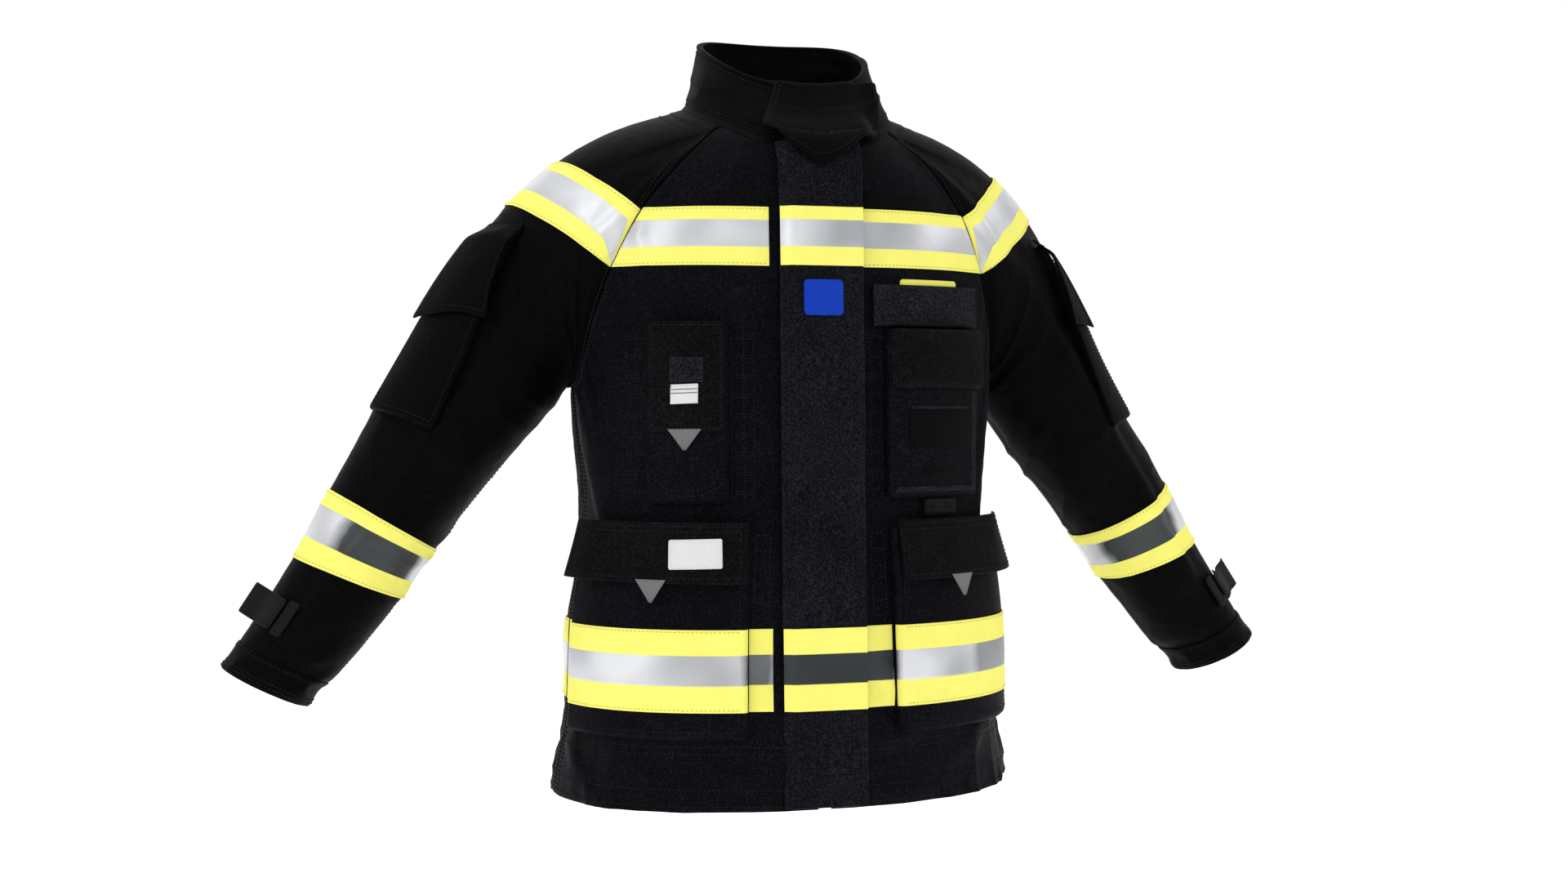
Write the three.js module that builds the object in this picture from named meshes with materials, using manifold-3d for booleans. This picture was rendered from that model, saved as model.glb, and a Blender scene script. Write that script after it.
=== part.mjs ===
// Firefighter's turnout coat, closed at the front and held open as if it were worn.
// Millimetres, +Z up. The front faces -Y and the wearer's left is +X.
// Every piece follows one of a few smooth surfaces: the body, a sleeve, the collar or the storm flap. It is the
// layer between two distances from its surface, and all pieces on one surface share its grid lines.
import * as THREE from "three";
import { mergeVertices } from "three/addons/utils/BufferGeometryUtils.js";
import Module from "manifold-3d";

const wasm = await Module();
wasm.setup();

// ---- Driving dimensions ----

const ARMPIT_Z = 459;
const ROUNDNESS = 0.9; // exponent of the body's section: 1 is an ellipse, less is boxier
const FRONT_GAP = 7; // from the centre line to each front edge
const SEAM_GAP = THREE.MathUtils.degToRad(0.25); // half the gap at a side or raglan seam
const YOKE_Z = 700; // above this the grid rows bend to meet the neckline
const TOP_ROW = 740; // the number of the row that ends on the neckline
const NECK_DROP = 1.5; // from the neckline down to the edge of the shell
const RAGLAN_TOP_Z = 752; // where the raglan seams meet the neckline, in front and at the back
const BACK_RAGLAN_TOP_Z = 790;

const SHELL = [-3, 0]; // outer fabric, as distances from its surface
const BARRIER = [-9, -7.5];
const LINER = [-13, -10];
const SLEEVE_LINER = [-12, -8.5];
const WRISTLET = [-17, -13.5];
const COLLAR_OUTER = [-2.4, 0];
const COLLAR_LINING = [-5, -2.8];
const THROAT_TAB = [4, 7.5];
const TAPE = [0.8, 2]; // reflective tape on the shell
const POCKET = [1, 11];
const POCKET_TAPE = [11.8, 13];
const FLAP_OFF = 12.8; // from the shell to a pocket flap's back
const FLAP_THICK = 3;
const STORM_FLAP = [8, 12];
const STORM_TAPE = [12.6, 13.8];
const BADGE = [12.5, 14.5];
const WRIST_STRAP = [4, 7];
const CHEST_STRAP = [2.6, 6];
const LOOP = [1, 5];
const LABEL_THICK = 1.4;

const CHEST_TAPE = [589, 653]; // lowest and highest Z
const HEM_TAPE = [108, 197];
const STORM_HALF_WIDTH = 46;
const STORM_Z = [3, 708];
const WAIST_POCKET_Z = [78, 306];
const POCKET_U = [0.18, 0.875]; // the share of a front panel's width that a waist pocket takes
const WAIST_FLAP_Z = [246, 312];
const WAIST_TAB_Z = [226, 248.5];
const WAIST_FLARE = 0.16; // how far a waist flap leans away from the coat, per millimetre down
const RADIO_X = [101, 182]; // on the wearer's right, measured from the centre
const RADIO_Z = [332, 528];
const CHEST_POCKET_X = [76, 196];
const CHEST_POCKET_Z = [336, 522];
const CHEST_FLAP_THICK = 6; // a folded, padded flap

// ---- Curves and surfaces ----

// A smooth curve through [place, value] keys.
function track(keys) {
  const slopes = keys.map((key, i) => {
    const before = keys[Math.max(i - 1, 0)];
    const after = keys[Math.min(i + 1, keys.length - 1)];
    return (after[1] - before[1]) / (after[0] - before[0]);
  });
  return (place) => {
    const x = THREE.MathUtils.clamp(place, keys[0][0], keys.at(-1)[0]);
    let i = 0;
    while (i < keys.length - 2 && x > keys[i + 1][0]) i += 1;
    const step = keys[i + 1][0] - keys[i][0];
    const t = (x - keys[i][0]) / step;
    const rise = t * t * (3 - 2 * t);
    return (
      keys[i][1] * (1 - rise) +
      keys[i + 1][1] * rise +
      slopes[i] * step * t * (1 - t) * (1 - t) -
      slopes[i + 1] * step * t * t * (1 - t)
    );
  };
}

const halfWidth = track([
  [0, 263], [110, 254], [200, 250], [334, 235], [ARMPIT_Z, 244], [520, 246], [600, 240], [660, 225],
  [710, 190], [750, 142], [776, 117], [795, 108],
]);
const frontDepth = track([[0, 171], [340, 159], [690, 146.6], [720, 136], [750, 114], [795, 98]]);
const backDepth = track([
  [0, 150], [200, 145], [334, 132], [ARMPIT_Z, 138], [560, 142], [640, 138], [710, 122], [760, 100],
  [795, 82],
]);
const raglanX = track([
  [ARMPIT_Z, 244], [520, 236], [589, 216], [651, 186], [700, 147], [735, 110], [RAGLAN_TOP_Z, 90],
  [BACK_RAGLAN_TOP_Z, 72],
]);
const neckZ = track([[0, 720], [0.3, 729], [0.62, 747], [1.57, 776], [2.52, 790], [Math.PI, 795]]); // by angle

// The distance from the centre line as a share of the half width, turned into an angle from the front.
const angleOf = (share) => Math.asin(Math.min(share, 1) ** (1 / ROUNDNESS));
const bent = (value) => Math.sign(value) * Math.abs(value) ** ROUNDNESS;

// A point of the body, by its angle from the centre front towards the wearer's left.
function bodyPoint(angle, z) {
  const depth = Math.cos(angle) > 0 ? frontDepth(z) : backDepth(z);
  return new THREE.Vector3(halfWidth(z) * bent(Math.sin(angle)), -depth * bent(Math.cos(angle)), z);
}

// The angle from the front, or from the back, at which a panel ends at height z.
const edgeAngle = (z) => (z <= ARMPIT_Z ? Math.PI / 2 : angleOf(raglanX(z) / halfWidth(z)));
const RAGLAN_TOP = edgeAngle(RAGLAN_TOP_Z);
const BACK_RAGLAN_TOP = edgeAngle(BACK_RAGLAN_TOP_Z);

// Above the yoke the rows spread so that the last one follows the neckline.
const rowHeight = (row, top) =>
  row <= YOKE_Z ? row : YOKE_Z + ((row - YOKE_Z) / (TOP_ROW - YOKE_Z)) * (top - YOKE_Z);

// The wearer's left front panel: u from the front edge to the seam, v the row.
function frontPoint(u, row) {
  const z = rowHeight(row, neckZ(u * RAGLAN_TOP) - NECK_DROP);
  const start = angleOf(FRONT_GAP / halfWidth(z));
  return bodyPoint(THREE.MathUtils.lerp(start, edgeAngle(z) - SEAM_GAP, u), z);
}

// The back panel: u from -1 at the wearer's left seam to 1 at the right seam.
function backPoint(u, row) {
  const z = rowHeight(row, neckZ(Math.PI - Math.abs(u) * BACK_RAGLAN_TOP) - NECK_DROP);
  return bodyPoint(Math.PI + u * (edgeAngle(z) - SEAM_GAP), z);
}

// The open edge of the left sleeve where it meets the body, by turn: 0 at the shoulder, 0.5 at the armpit.
const NECK_ARC = 0.08; // share of a turn along the neckline on each side of the shoulder
function sleeveEdge(turn) {
  const front = turn <= 0.5;
  const t = front ? turn : 1 - turn;
  const top = front ? RAGLAN_TOP : BACK_RAGLAN_TOP;
  const along = (angle) => (front ? angle : Math.PI - angle);
  if (t < NECK_ARC) {
    const angle = along(THREE.MathUtils.lerp(Math.PI / 2, top + SEAM_GAP, t / NECK_ARC));
    return bodyPoint(angle, neckZ(angle) - NECK_DROP);
  }
  const topZ = front ? RAGLAN_TOP_Z : BACK_RAGLAN_TOP_Z;
  const z = THREE.MathUtils.lerp(topZ, ARMPIT_Z, (t - NECK_ARC) / (0.5 - NECK_ARC));
  return bodyPoint(along(edgeAngle(z) + SEAM_GAP), Math.min(z, neckZ(along(top)) - NECK_DROP));
}

// Sections of the arm from the upper arm (0) to the cuff (1).
const armX = track([[0, 330], [0.5, 455], [0.67, 495], [1, 583]]);
const armZ = track([[0, 495], [0.5, 312], [0.67, 247], [1, 127]]);
const armY = track([[0, 38], [0.5, 52], [1, 48]]);
const armWide = track([[0, 87], [0.5, 66.5], [0.67, 61], [1, 52]]);
const armDeep = track([[0, 84], [0.5, 66], [1, 54]]);
const armLean = track([[0, 0.594], [0.5, 0.527], [1, 0.472]]); // angle of the section's wide way above level

function armPoint(turn, along) {
  const across = Math.cos(turn * 2 * Math.PI) * armWide(along);
  const lean = armLean(along);
  return new THREE.Vector3(
    armX(along) + across * Math.cos(lean),
    armY(along) - Math.sin(turn * 2 * Math.PI) * armDeep(along),
    armZ(along) + across * Math.sin(lean),
  );
}

const UPPER = 0.4; // share of the sleeve's rows between the seam and the upper arm
const SHOULDER_WAY = new THREE.Vector3(0.98, 0, -0.2); // the way the cloth leaves the top of the shoulder
const SHOULDER_SPREAD = 0.16; // in turns
const ARM_WAY = new THREE.Vector3(0.5, 0, -0.866);
const FULLNESS = 1.15; // how strongly the yoke keeps to those two ways

// The left sleeve: u is the turn, v runs from 0 at the seam to 1 at the cuff.
function sleevePoint(turn, v) {
  const u = turn - Math.floor(turn);
  if (v >= UPPER) return armPoint(u, (v - UPPER) / (1 - UPPER));
  const start = sleeveEdge(u);
  const end = armPoint(u, 0);
  const reach = start.distanceTo(end);
  const away = end.clone().sub(start).normalize();
  const shoulder = Math.exp(-((Math.min(u, 1 - u) / SHOULDER_SPREAD) ** 2));
  const leave = away.lerp(SHOULDER_WAY, shoulder).normalize();
  const t = v / UPPER;
  const rise = t * t * (3 - 2 * t);
  return start
    .multiplyScalar(1 - rise)
    .addScaledVector(end, rise)
    .addScaledVector(leave, FULLNESS * reach * t * (1 - t) * (1 - t))
    .addScaledVector(ARM_WAY, -FULLNESS * reach * t * t * (1 - t));
}

const COLLAR_START = 0.05; // the collar's front edges, as an angle from the centre front
const COLLAR_FRONT_Z = 792;
const COLLAR_RISE = 74; // from its front to its back
const COLLAR_TOP = { halfWidth: 96, front: 99, back: 79 };
const COLLAR_BASE_SHARE = 0.975; // the collar's base is a little inside the neckline, and a little above it
const COLLAR_BASE_LIFT = 3;
const collarTopZ = (angle) => COLLAR_FRONT_Z + COLLAR_RISE * (1 - (Math.cos(angle / 2) ** 2) ** 1.8);

// The collar: u is the angle from the front, v runs from the neckline to the top edge.
function collarPoint(angle, v) {
  const base = bodyPoint(angle, neckZ(Math.abs(angle > Math.PI ? angle - 2 * Math.PI : angle)));
  base.multiply(new THREE.Vector3(COLLAR_BASE_SHARE, COLLAR_BASE_SHARE, 1)).setZ(base.z + COLLAR_BASE_LIFT);
  const deep = Math.cos(angle) > 0 ? COLLAR_TOP.front : COLLAR_TOP.back;
  const wide = COLLAR_TOP.halfWidth;
  const [x, y] = [wide * bent(Math.sin(angle)), -deep * bent(Math.cos(angle))];
  return base.lerp(new THREE.Vector3(x, y, collarTopZ(angle)), v);
}

// The storm flap: u is the distance from the centre line, v the height.
function stormPoint(x, z) {
  return bodyPoint(Math.sign(x) * angleOf(Math.abs(x) / halfWidth(z)), z);
}

// ---- Solids ----

const steps = (from, to, count) =>
  Array.from({ length: count + 1 }, (_, i) => from + ((to - from) * i) / count);

// A surface sampled on a grid of u and v lines, with a normal at each crossing.
class Surface {
  constructor(point, us, vs, closed = false) {
    Object.assign(this, { us, vs, closed });
    const [du, dv] = [1e-3 * (us.at(-1) - us[0]), 1e-3 * (vs.at(-1) - vs[0])];
    this.points = us.map((u) => vs.map((v) => point(u, v)));
    this.normals = us.map((u) =>
      vs.map((v) => {
        const across = point(u + du, v).sub(point(u - du, v));
        const [low, high] = [Math.max(v - dv, vs[0]), Math.min(v + dv, vs.at(-1))];
        return across.cross(point(u, high).sub(point(u, low))).normalize();
      }),
    );
  }

  // The point at (u, v), a distance off the surface, on the flat-sided grid.
  at(u, v, off) {
    const cell = (lines, x) => {
      let i = 0;
      while (i < lines.length - 2 && x > lines[i + 1]) i += 1;
      return [i, (x - lines[i]) / (lines[i + 1] - lines[i])];
    };
    const [i, a] = cell(this.us, u);
    const [j, b] = cell(this.vs, v);
    const corner = (m, n) => this.points[m][n].clone().addScaledVector(this.normals[m][n], off);
    return corner(i, j).lerp(corner(i + 1, j), a).lerp(corner(i, j + 1).lerp(corner(i + 1, j + 1), a), b);
  }
}

// The grid lines inside a range, with the range's own ends.
function linesWithin(lines, range) {
  if (!range) return lines;
  const margin = 1e-3 * (lines.at(-1) - lines[0]);
  return [range[0], ...lines.filter((x) => x > range[0] + margin && x < range[1] - margin), range[1]];
}

// A closed solid between two distances off a surface. A distance may be a function of the surface's point.
function layer(surface, [inner, outer], uRange, vRange) {
  const us = linesWithin(surface.us, uRange);
  const vs = linesWithin(surface.vs, vRange);
  const ring = surface.closed && !uRange;
  const columns = ring ? us.length - 1 : us.length;
  const positions = [];
  for (const off of [inner, outer])
    for (let i = 0; i < columns; i += 1)
      for (const v of vs) {
        const distance = typeof off === "function" ? off(surface.at(us[i], v, 0)) : off;
        positions.push(...surface.at(us[i], v, distance).toArray());
      }
  const index = [];
  const vertex = (side, i, j) => (side * columns + (i % columns)) * vs.length + j;
  const quad = (a, b, c, d) => index.push(a, b, c, a, c, d);
  const last = vs.length - 1;
  for (let i = 0; i < us.length - 1; i += 1) {
    for (let j = 0; j < last; j += 1) {
      quad(vertex(1, i, j), vertex(1, i + 1, j), vertex(1, i + 1, j + 1), vertex(1, i, j + 1));
      quad(vertex(0, i, j), vertex(0, i, j + 1), vertex(0, i + 1, j + 1), vertex(0, i + 1, j));
    }
    quad(vertex(0, i, 0), vertex(0, i + 1, 0), vertex(1, i + 1, 0), vertex(1, i, 0));
    quad(vertex(0, i, last), vertex(1, i, last), vertex(1, i + 1, last), vertex(0, i + 1, last));
  }
  for (let j = 0; j < last && !ring; j += 1) {
    const end = us.length - 1;
    quad(vertex(0, 0, j), vertex(1, 0, j), vertex(1, 0, j + 1), vertex(0, 0, j + 1));
    quad(vertex(0, end, j), vertex(0, end, j + 1), vertex(1, end, j + 1), vertex(1, end, j));
  }
  const geometry = new THREE.BufferGeometry();
  geometry.setAttribute("position", new THREE.Float32BufferAttribute(positions, 3));
  return geometry.setIndex(index);
}

function toSolid(geometry) {
  const plain = geometry.clone();
  plain.deleteAttribute("normal");
  plain.deleteAttribute("uv");
  const merged = mergeVertices(plain, 1e-4);
  return new wasm.Manifold(
    new wasm.Mesh({
      numProp: 3,
      vertProperties: new Float32Array(merged.attributes.position.array),
      triVerts: new Uint32Array(merged.index.array),
    }),
  );
}

function toGeometry(solid) {
  const mesh = solid.getMesh();
  const geometry = new THREE.BufferGeometry();
  geometry.setAttribute("position", new THREE.BufferAttribute(mesh.vertProperties, 3));
  return geometry.setIndex(new THREE.BufferAttribute(mesh.triVerts, 1));
}

// The largest body of what a cut leaves.
const largest = (solid) => solid.decompose().sort((a, b) => b.volume() - a.volume())[0];

// A prism along Y over an outline of [x, z] points, from one Y to another.
function prism(outline, [near, far] = [-300, 0]) {
  const shape = new THREE.Shape(outline.map(([x, z]) => new THREE.Vector2(x, z)));
  const geometry = new THREE.ExtrudeGeometry(shape, { depth: far - near, bevelEnabled: false });
  return toSolid(geometry.rotateX(Math.PI / 2).translate(0, far, 0));
}

// What is left of a sleeve piece beside the body's panels, with a little room.
const besidePanels = (geometry) => {
  const grown = [SHELL[0] - 0.5, 3];
  const frontPanel = toSolid(layer(front, grown, [0, 1.008]));
  const backPanel = toSolid(layer(back, grown, [-1.004, 1.004]));
  return toGeometry(largest(toSolid(geometry).subtract(frontPanel).subtract(backPanel)));
};

const within = (geometry, outline, reach) =>
  toGeometry(largest(toSolid(geometry).intersect(prism(outline, reach))));
const rectangle = ([x0, x1], [z0, z1]) => [[x0, z0], [x1, z0], [x1, z1], [x0, z1]];

// The same piece on the wearer's other side.
function mirrored(geometry) {
  const other = geometry.clone().scale(-1, 1, 1);
  const index = other.index.array;
  for (let i = 0; i < index.length; i += 3) [index[i + 1], index[i + 2]] = [index[i + 2], index[i + 1]];
  return other;
}

// ---- Materials ----

const matt = (color, roughness = 0.9) => new THREE.MeshStandardMaterial({ color, roughness, metalness: 0 });
const SHELL_CLOTH = 0x0e0f13;
const SLEEVE_CLOTH = 0x0a0a0b;
const FLAP_CLOTH = 0x191b1f;
const COLLAR_CLOTH = 0x060608;
const LINING_CLOTH = 0x22242a;
const YELLOW = 0xebe771;
const GREY_TAB = 0x6c6c6e;
const WHITE_LABEL = 0xd8d8dc;
const HOOK_AND_LOOP = 0x08080a;
const BADGE_BLUE = 0x093ab4;

const coat = new THREE.Group();

function add(name, geometry, material, parent = coat) {
  const mesh = new THREE.Mesh(geometry, material);
  mesh.name = name;
  parent.add(mesh);
  return mesh;
}

// One piece made for the wearer's left and mirrored for the right.
function addPair(name, geometry, colour, roughness) {
  add(name + "_left", geometry, matt(colour, roughness));
  add(name + "_right", mirrored(geometry), matt(colour, roughness));
}

// ---- Outer shell ----

const ROWS = [...steps(0, YOKE_Z, 13), TOP_ROW];
const front = new Surface(frontPoint, steps(0, 1, 7), ROWS);
const back = new Surface(backPoint, steps(-1, 1, 14), ROWS);
const sleeve = new Surface(sleevePoint, steps(0, 1, 16), [...steps(0, UPPER, 5), ...steps(0.47, 1, 8)], true);
const collar = new Surface(collarPoint, steps(COLLAR_START, 2 * Math.PI - COLLAR_START, 24), steps(0, 1, 2));
const storm = new Surface(
  stormPoint,
  steps(-STORM_HALF_WIDTH, STORM_HALF_WIDTH, 4),
  [STORM_Z[0], ...ROWS.slice(1, -1), STORM_Z[1]],
);

addPair("front_panel", layer(front, SHELL), SHELL_CLOTH);
add("back_panel", layer(back, SHELL), matt(SHELL_CLOTH));
addPair("sleeve", besidePanels(layer(sleeve, SHELL)), SLEEVE_CLOTH);
add("collar_outer", layer(collar, COLLAR_OUTER), matt(COLLAR_CLOTH));
add("collar_lining", layer(collar, COLLAR_LINING), matt(COLLAR_CLOTH));
const throat = new Surface(collarPoint, steps(-0.32, 0.98, 6), steps(0.02, 1, 2));
add("throat_tab", layer(throat, THROAT_TAB), matt(COLLAR_CLOTH));
add("storm_flap", layer(storm, STORM_FLAP), matt(FLAP_CLOTH));

const LOOP_WIDTH = 64;
const LOOP_HEIGHT = 18;
const LOOP_BAND = 4;
const LOOP_THICK = 2;
const LOOP_PLACE = [0, 71.5, 816];
function addHangerLoop() {
  const outline = (inset) => {
    const [w, h] = [LOOP_WIDTH / 2 - inset, LOOP_HEIGHT / 2 - inset];
    return [[-w, -h], [w, -h], [w, h], [-w, h]].map(([x, y]) => new THREE.Vector2(x, y));
  };
  const shape = new THREE.Shape(outline(0));
  shape.holes.push(new THREE.Path(outline(LOOP_BAND)));
  const geometry = new THREE.ExtrudeGeometry(shape, { depth: LOOP_THICK, bevelEnabled: false });
  const mesh = add("hanger_loop", geometry.rotateX(Math.PI / 2), matt(SHELL_CLOTH));
  mesh.position.set(...LOOP_PLACE);
}
addHangerLoop();

// ---- Lining layers ----

const THERMAL_CLOTH = 0x3a3528;
const LINING_START = 0.07; // the lining's front edges, as an angle from the centre front
const vest = new Surface(
  bodyPoint, steps(LINING_START, 2 * Math.PI - LINING_START, 18), [24, 120, 225, 330, 445, 540, 620, 660, 700],
);
// What the armholes take from the lining: everything outside the raglan seams.
const EVERYTHING = [-300, 300]; // a reach along Y that takes in the whole coat
function armhole(side) {
  const [low, high, outside] = [ARMPIT_Z - 12, BACK_RAGLAN_TOP_Z, side * 400];
  const seam = steps(low, high, 8).map((z) => [side * (raglanX(Math.max(z, ARMPIT_Z)) - 14), z]);
  return prism([...seam, [outside, high], [outside, low]], EVERYTHING);
}
const linings = [["moisture_barrier", BARRIER, LINING_CLOTH], ["thermal_liner", LINER, THERMAL_CLOTH]];
for (const [name, offsets, colour] of linings) {
  const cut = toSolid(layer(vest, offsets)).subtract(armhole(1)).subtract(armhole(-1));
  add(name, toGeometry(largest(cut)), matt(colour));
}
const coarseSleeve = new Surface(sleevePoint, steps(0, 1, 10), [0.27, UPPER, 0.55, 0.7, 0.85, 0.97], true);
const underArm = prism(rectangle([200, 268], [ARMPIT_Z - 16, 520]), EVERYTHING);
const sleeveLiner = toSolid(layer(coarseSleeve, SLEEVE_LINER)).subtract(underArm);
addPair("sleeve_liner", toGeometry(largest(sleeveLiner)), THERMAL_CLOTH);
addPair("wristlet", layer(coarseSleeve, WRISTLET, null, [0.88, 0.97]), LINING_CLOTH);

// ---- Reflective tape ----

const tapes = { colour: YELLOW, roughness: 0.55 };
addPair("hem_tape_front", layer(front, TAPE, [0.01, 0.17], HEM_TAPE), tapes.colour, tapes.roughness);
addPair("hem_tape_pocket", layer(front, POCKET_TAPE, POCKET_U, HEM_TAPE), tapes.colour, tapes.roughness);
add("hem_tape_back", layer(back, TAPE, [-0.99, 0.99], HEM_TAPE), matt(tapes.colour, tapes.roughness));
addPair("chest_tape", layer(front, TAPE, [0.01, 0.985], CHEST_TAPE), tapes.colour, tapes.roughness);
add("chest_tape_back", layer(back, TAPE, [-0.985, 0.985], CHEST_TAPE), matt(tapes.colour, tapes.roughness));
const flapWidth = [-STORM_HALF_WIDTH, STORM_HALF_WIDTH];
add("chest_tape_flap", layer(storm, STORM_TAPE, flapWidth, CHEST_TAPE), matt(tapes.colour, tapes.roughness));
add("hem_tape_flap", layer(storm, STORM_TAPE, flapWidth, HEM_TAPE), matt(tapes.colour, tapes.roughness));

// A slanted band between two lines, each given by an inner and an outer [x, z] point and drawn out past both.
function slantedBand([innerTop, outerTop], [innerLow, outerLow]) {
  const beyond = (a, b, t) => [a[0] + (b[0] - a[0]) * t, a[1] + (b[1] - a[1]) * t];
  return [
    beyond(innerLow, outerLow, -0.6), beyond(innerLow, outerLow, 1.6),
    beyond(innerTop, outerTop, 1.6), beyond(innerTop, outerTop, -0.6),
  ];
}
const SHOULDER_BAND = slantedBand([[186, 651], [272, 722]], [[216, 589], [315, 663]]);
const FOREARM_BAND = slantedBand([[398, 279], [513, 346]], [[439, 225], [551, 270]]);
const sleeveTape = besidePanels(layer(sleeve, TAPE));
addPair("shoulder_tape", within(sleeveTape, SHOULDER_BAND, EVERYTHING), tapes.colour, tapes.roughness);
addPair("forearm_tape", within(sleeveTape, FOREARM_BAND, EVERYTHING), tapes.colour, tapes.roughness);

// ---- Zip behind the storm flap ----

const ZIP_LENGTH = 640;
const ZIP_LOW = 10;
const zip = new THREE.Group();
zip.position.set(0, -frontDepth(ZIP_LOW), ZIP_LOW);
zip.rotation.x = -Math.atan2(frontDepth(ZIP_LOW) - frontDepth(ZIP_LOW + ZIP_LENGTH), ZIP_LENGTH);
coat.add(zip);
function addZipStrip(name, width, depth, x, y, colour) {
  const box = new THREE.BoxGeometry(width, depth, ZIP_LENGTH);
  add(name, box, matt(colour, 0.6), zip).position.set(x, y, ZIP_LENGTH / 2);
}
const ZIP_Y = 3; // how far the zip lies behind the shell's outer face
const BRASS = 0xb08a45;
for (const [side, sign] of [["left", 1], ["right", -1]]) {
  addZipStrip("zip_tape_" + side, 2.6, 1, sign * 4.7, ZIP_Y, HOOK_AND_LOOP);
  addZipStrip("zip_teeth_" + side, 2.4, 3, sign * 1.9, ZIP_Y, BRASS);
}
// The slider: a shell round both rows of teeth, slotted for the tapes, with a web between the rows.
function sliderGeometry() {
  const box = (w, d, h) => toSolid(new THREE.BoxGeometry(w, d, h));
  const solid = box(11, 7, 14).subtract(box(6.8, 4, 20)).subtract(box(30, 2, 20)).add(box(0.7, 6, 14));
  return toGeometry(solid);
}
const slider = new THREE.Group();
slider.position.set(0, ZIP_Y, ZIP_LENGTH - 12);
zip.add(slider);
const brass = new THREE.MeshStandardMaterial({ color: BRASS, roughness: 0.35, metalness: 1 });
add("zip_slider", sliderGeometry(), brass, slider);
add("zip_pull", new THREE.BoxGeometry(6, 1.4, 30), matt(GREY_TAB, 0.6), slider).position.set(0, -4.7, -10);

// ---- Waist pockets ----

const FLAP_U = [0.19, 0.865];
addPair("waist_pocket", layer(front, POCKET, POCKET_U, WAIST_POCKET_Z), SHELL_CLOTH);
const flare = (off, top) => (p) => off + WAIST_FLARE * (top - p.z);
const waistFlap = [flare(FLAP_OFF + 1, WAIST_FLAP_Z[1]), flare(FLAP_OFF + 1 + FLAP_THICK, WAIST_FLAP_Z[1])];
addPair("waist_flap", layer(front, waistFlap, FLAP_U, WAIST_FLAP_Z), FLAP_CLOTH);
const onWaistFlap = (near, far) =>
  [near, far].map((off) => flare(FLAP_OFF + 1 + FLAP_THICK + off, WAIST_FLAP_Z[1]));
const tabOutline = (x, half, [low, high]) => [[x, low], [x + half, high], [x - half, high]];
const waistTab = layer(front, onWaistFlap(0.4, 2.2), FLAP_U, [220, 262]);
addPair("waist_tab", within(waistTab, tabOutline(174, 13, WAIST_TAB_Z)), GREY_TAB);
const waistLabel = layer(front, onWaistFlap(0.4, 1.4), FLAP_U, [258, 300]);
add("waist_label", mirrored(within(waistLabel, rectangle([108, 158], [262, 294]))), matt(WHITE_LABEL));

// ---- Radio pocket on the wearer's right chest ----

function addRight(name, geometry, outline, colour) {
  add(name, mirrored(within(geometry, outline)), matt(colour));
}
const radioMid = (RADIO_X[0] + RADIO_X[1]) / 2;
const radioRange = [0.15, 0.9]; // the part of the panel's width that the cut pieces come from
const radioPocket = layer(front, POCKET, radioRange, [300, 560]);
addRight("radio_pocket", radioPocket, rectangle(RADIO_X, RADIO_Z), SHELL_CLOTH);
const radioFlap = layer(front, [FLAP_OFF, FLAP_OFF + FLAP_THICK], radioRange, [380, 560]);
addRight("radio_flap", radioFlap, rectangle([RADIO_X[0] + 4, RADIO_X[1] - 4], [410, RADIO_Z[1]]), FLAP_CLOTH);
const onFlap = FLAP_OFF + FLAP_THICK + 0.4;
const radioTrim = layer(front, [onFlap, onFlap + LABEL_THICK], radioRange, [380, 560]);
addRight("radio_label", radioTrim, rectangle([136, 162], [440, 461]), WHITE_LABEL);
addRight("radio_tab", radioTrim, tabOutline(radioMid + 7, 16, [391, 412]), GREY_TAB);

// ---- Pocket on the wearer's left chest ----

const chestRange = [0.05, 0.95];
const chestPocket = layer(front, POCKET, chestRange, [300, 540]);
add("chest_pocket", within(chestPocket, rectangle(CHEST_POCKET_X, CHEST_POCKET_Z)), matt(SHELL_CLOTH));
const bulge = layer(front, [FLAP_OFF, FLAP_OFF + CHEST_FLAP_THICK], chestRange, [440, 540]);
add("chest_flap", within(bulge, rectangle([77, 195], [457, CHEST_POCKET_Z[1]])), matt(FLAP_CLOTH));
const strap = layer(front, CHEST_STRAP, chestRange, [500, 585]);
add("chest_strap", within(strap, rectangle([61, 199], [525, 571])), matt(LINING_CLOTH));
const squareLayer = layer(front, [POCKET[1] + 0.6, POCKET[1] + 1.8], chestRange, [380, 450]);
add("chest_patch", within(squareLayer, rectangle([98, 182], [390, 430])), matt(HOOK_AND_LOOP));
const stripLayer = layer(front, TAPE, chestRange, [640, YOKE_Z]);
add("name_strip", within(stripLayer, rectangle([51, 146], [656, 672])), matt(HOOK_AND_LOOP));
const loopLayer = layer(front, LOOP, chestRange, [300, 345]);
add("utility_loop", within(loopLayer, rectangle([124, 168], [315, 334])), matt(LINING_CLOTH));

const badge = layer(storm, BADGE, [-22, 22], [535, 574]);
add("badge_patch", badge, matt(BADGE_BLUE, 0.7));

// ---- Sleeve pockets and wrist straps ----

const armFront = [-300, 40]; // the reach along Y of the pockets round the upper arm
const sleevePocketOutline = [[306, 632], [420, 650], [470, 520], [466, 432], [404, 410], [344, 530]];
const sleeveFlapOutline = [[303, 634], [420, 652], [470, 522], [334, 532]];
addPair("sleeve_pocket", within(layer(sleeve, POCKET), sleevePocketOutline, armFront), SLEEVE_CLOTH);
const armFlap = layer(sleeve, [FLAP_OFF, FLAP_OFF + FLAP_THICK]);
addPair("sleeve_flap", within(armFlap, sleeveFlapOutline, armFront), SLEEVE_CLOTH);
addPair("wrist_strap", layer(sleeve, WRIST_STRAP, [0.02, 0.14], [0.862, 0.92]), SLEEVE_CLOTH);

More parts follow.
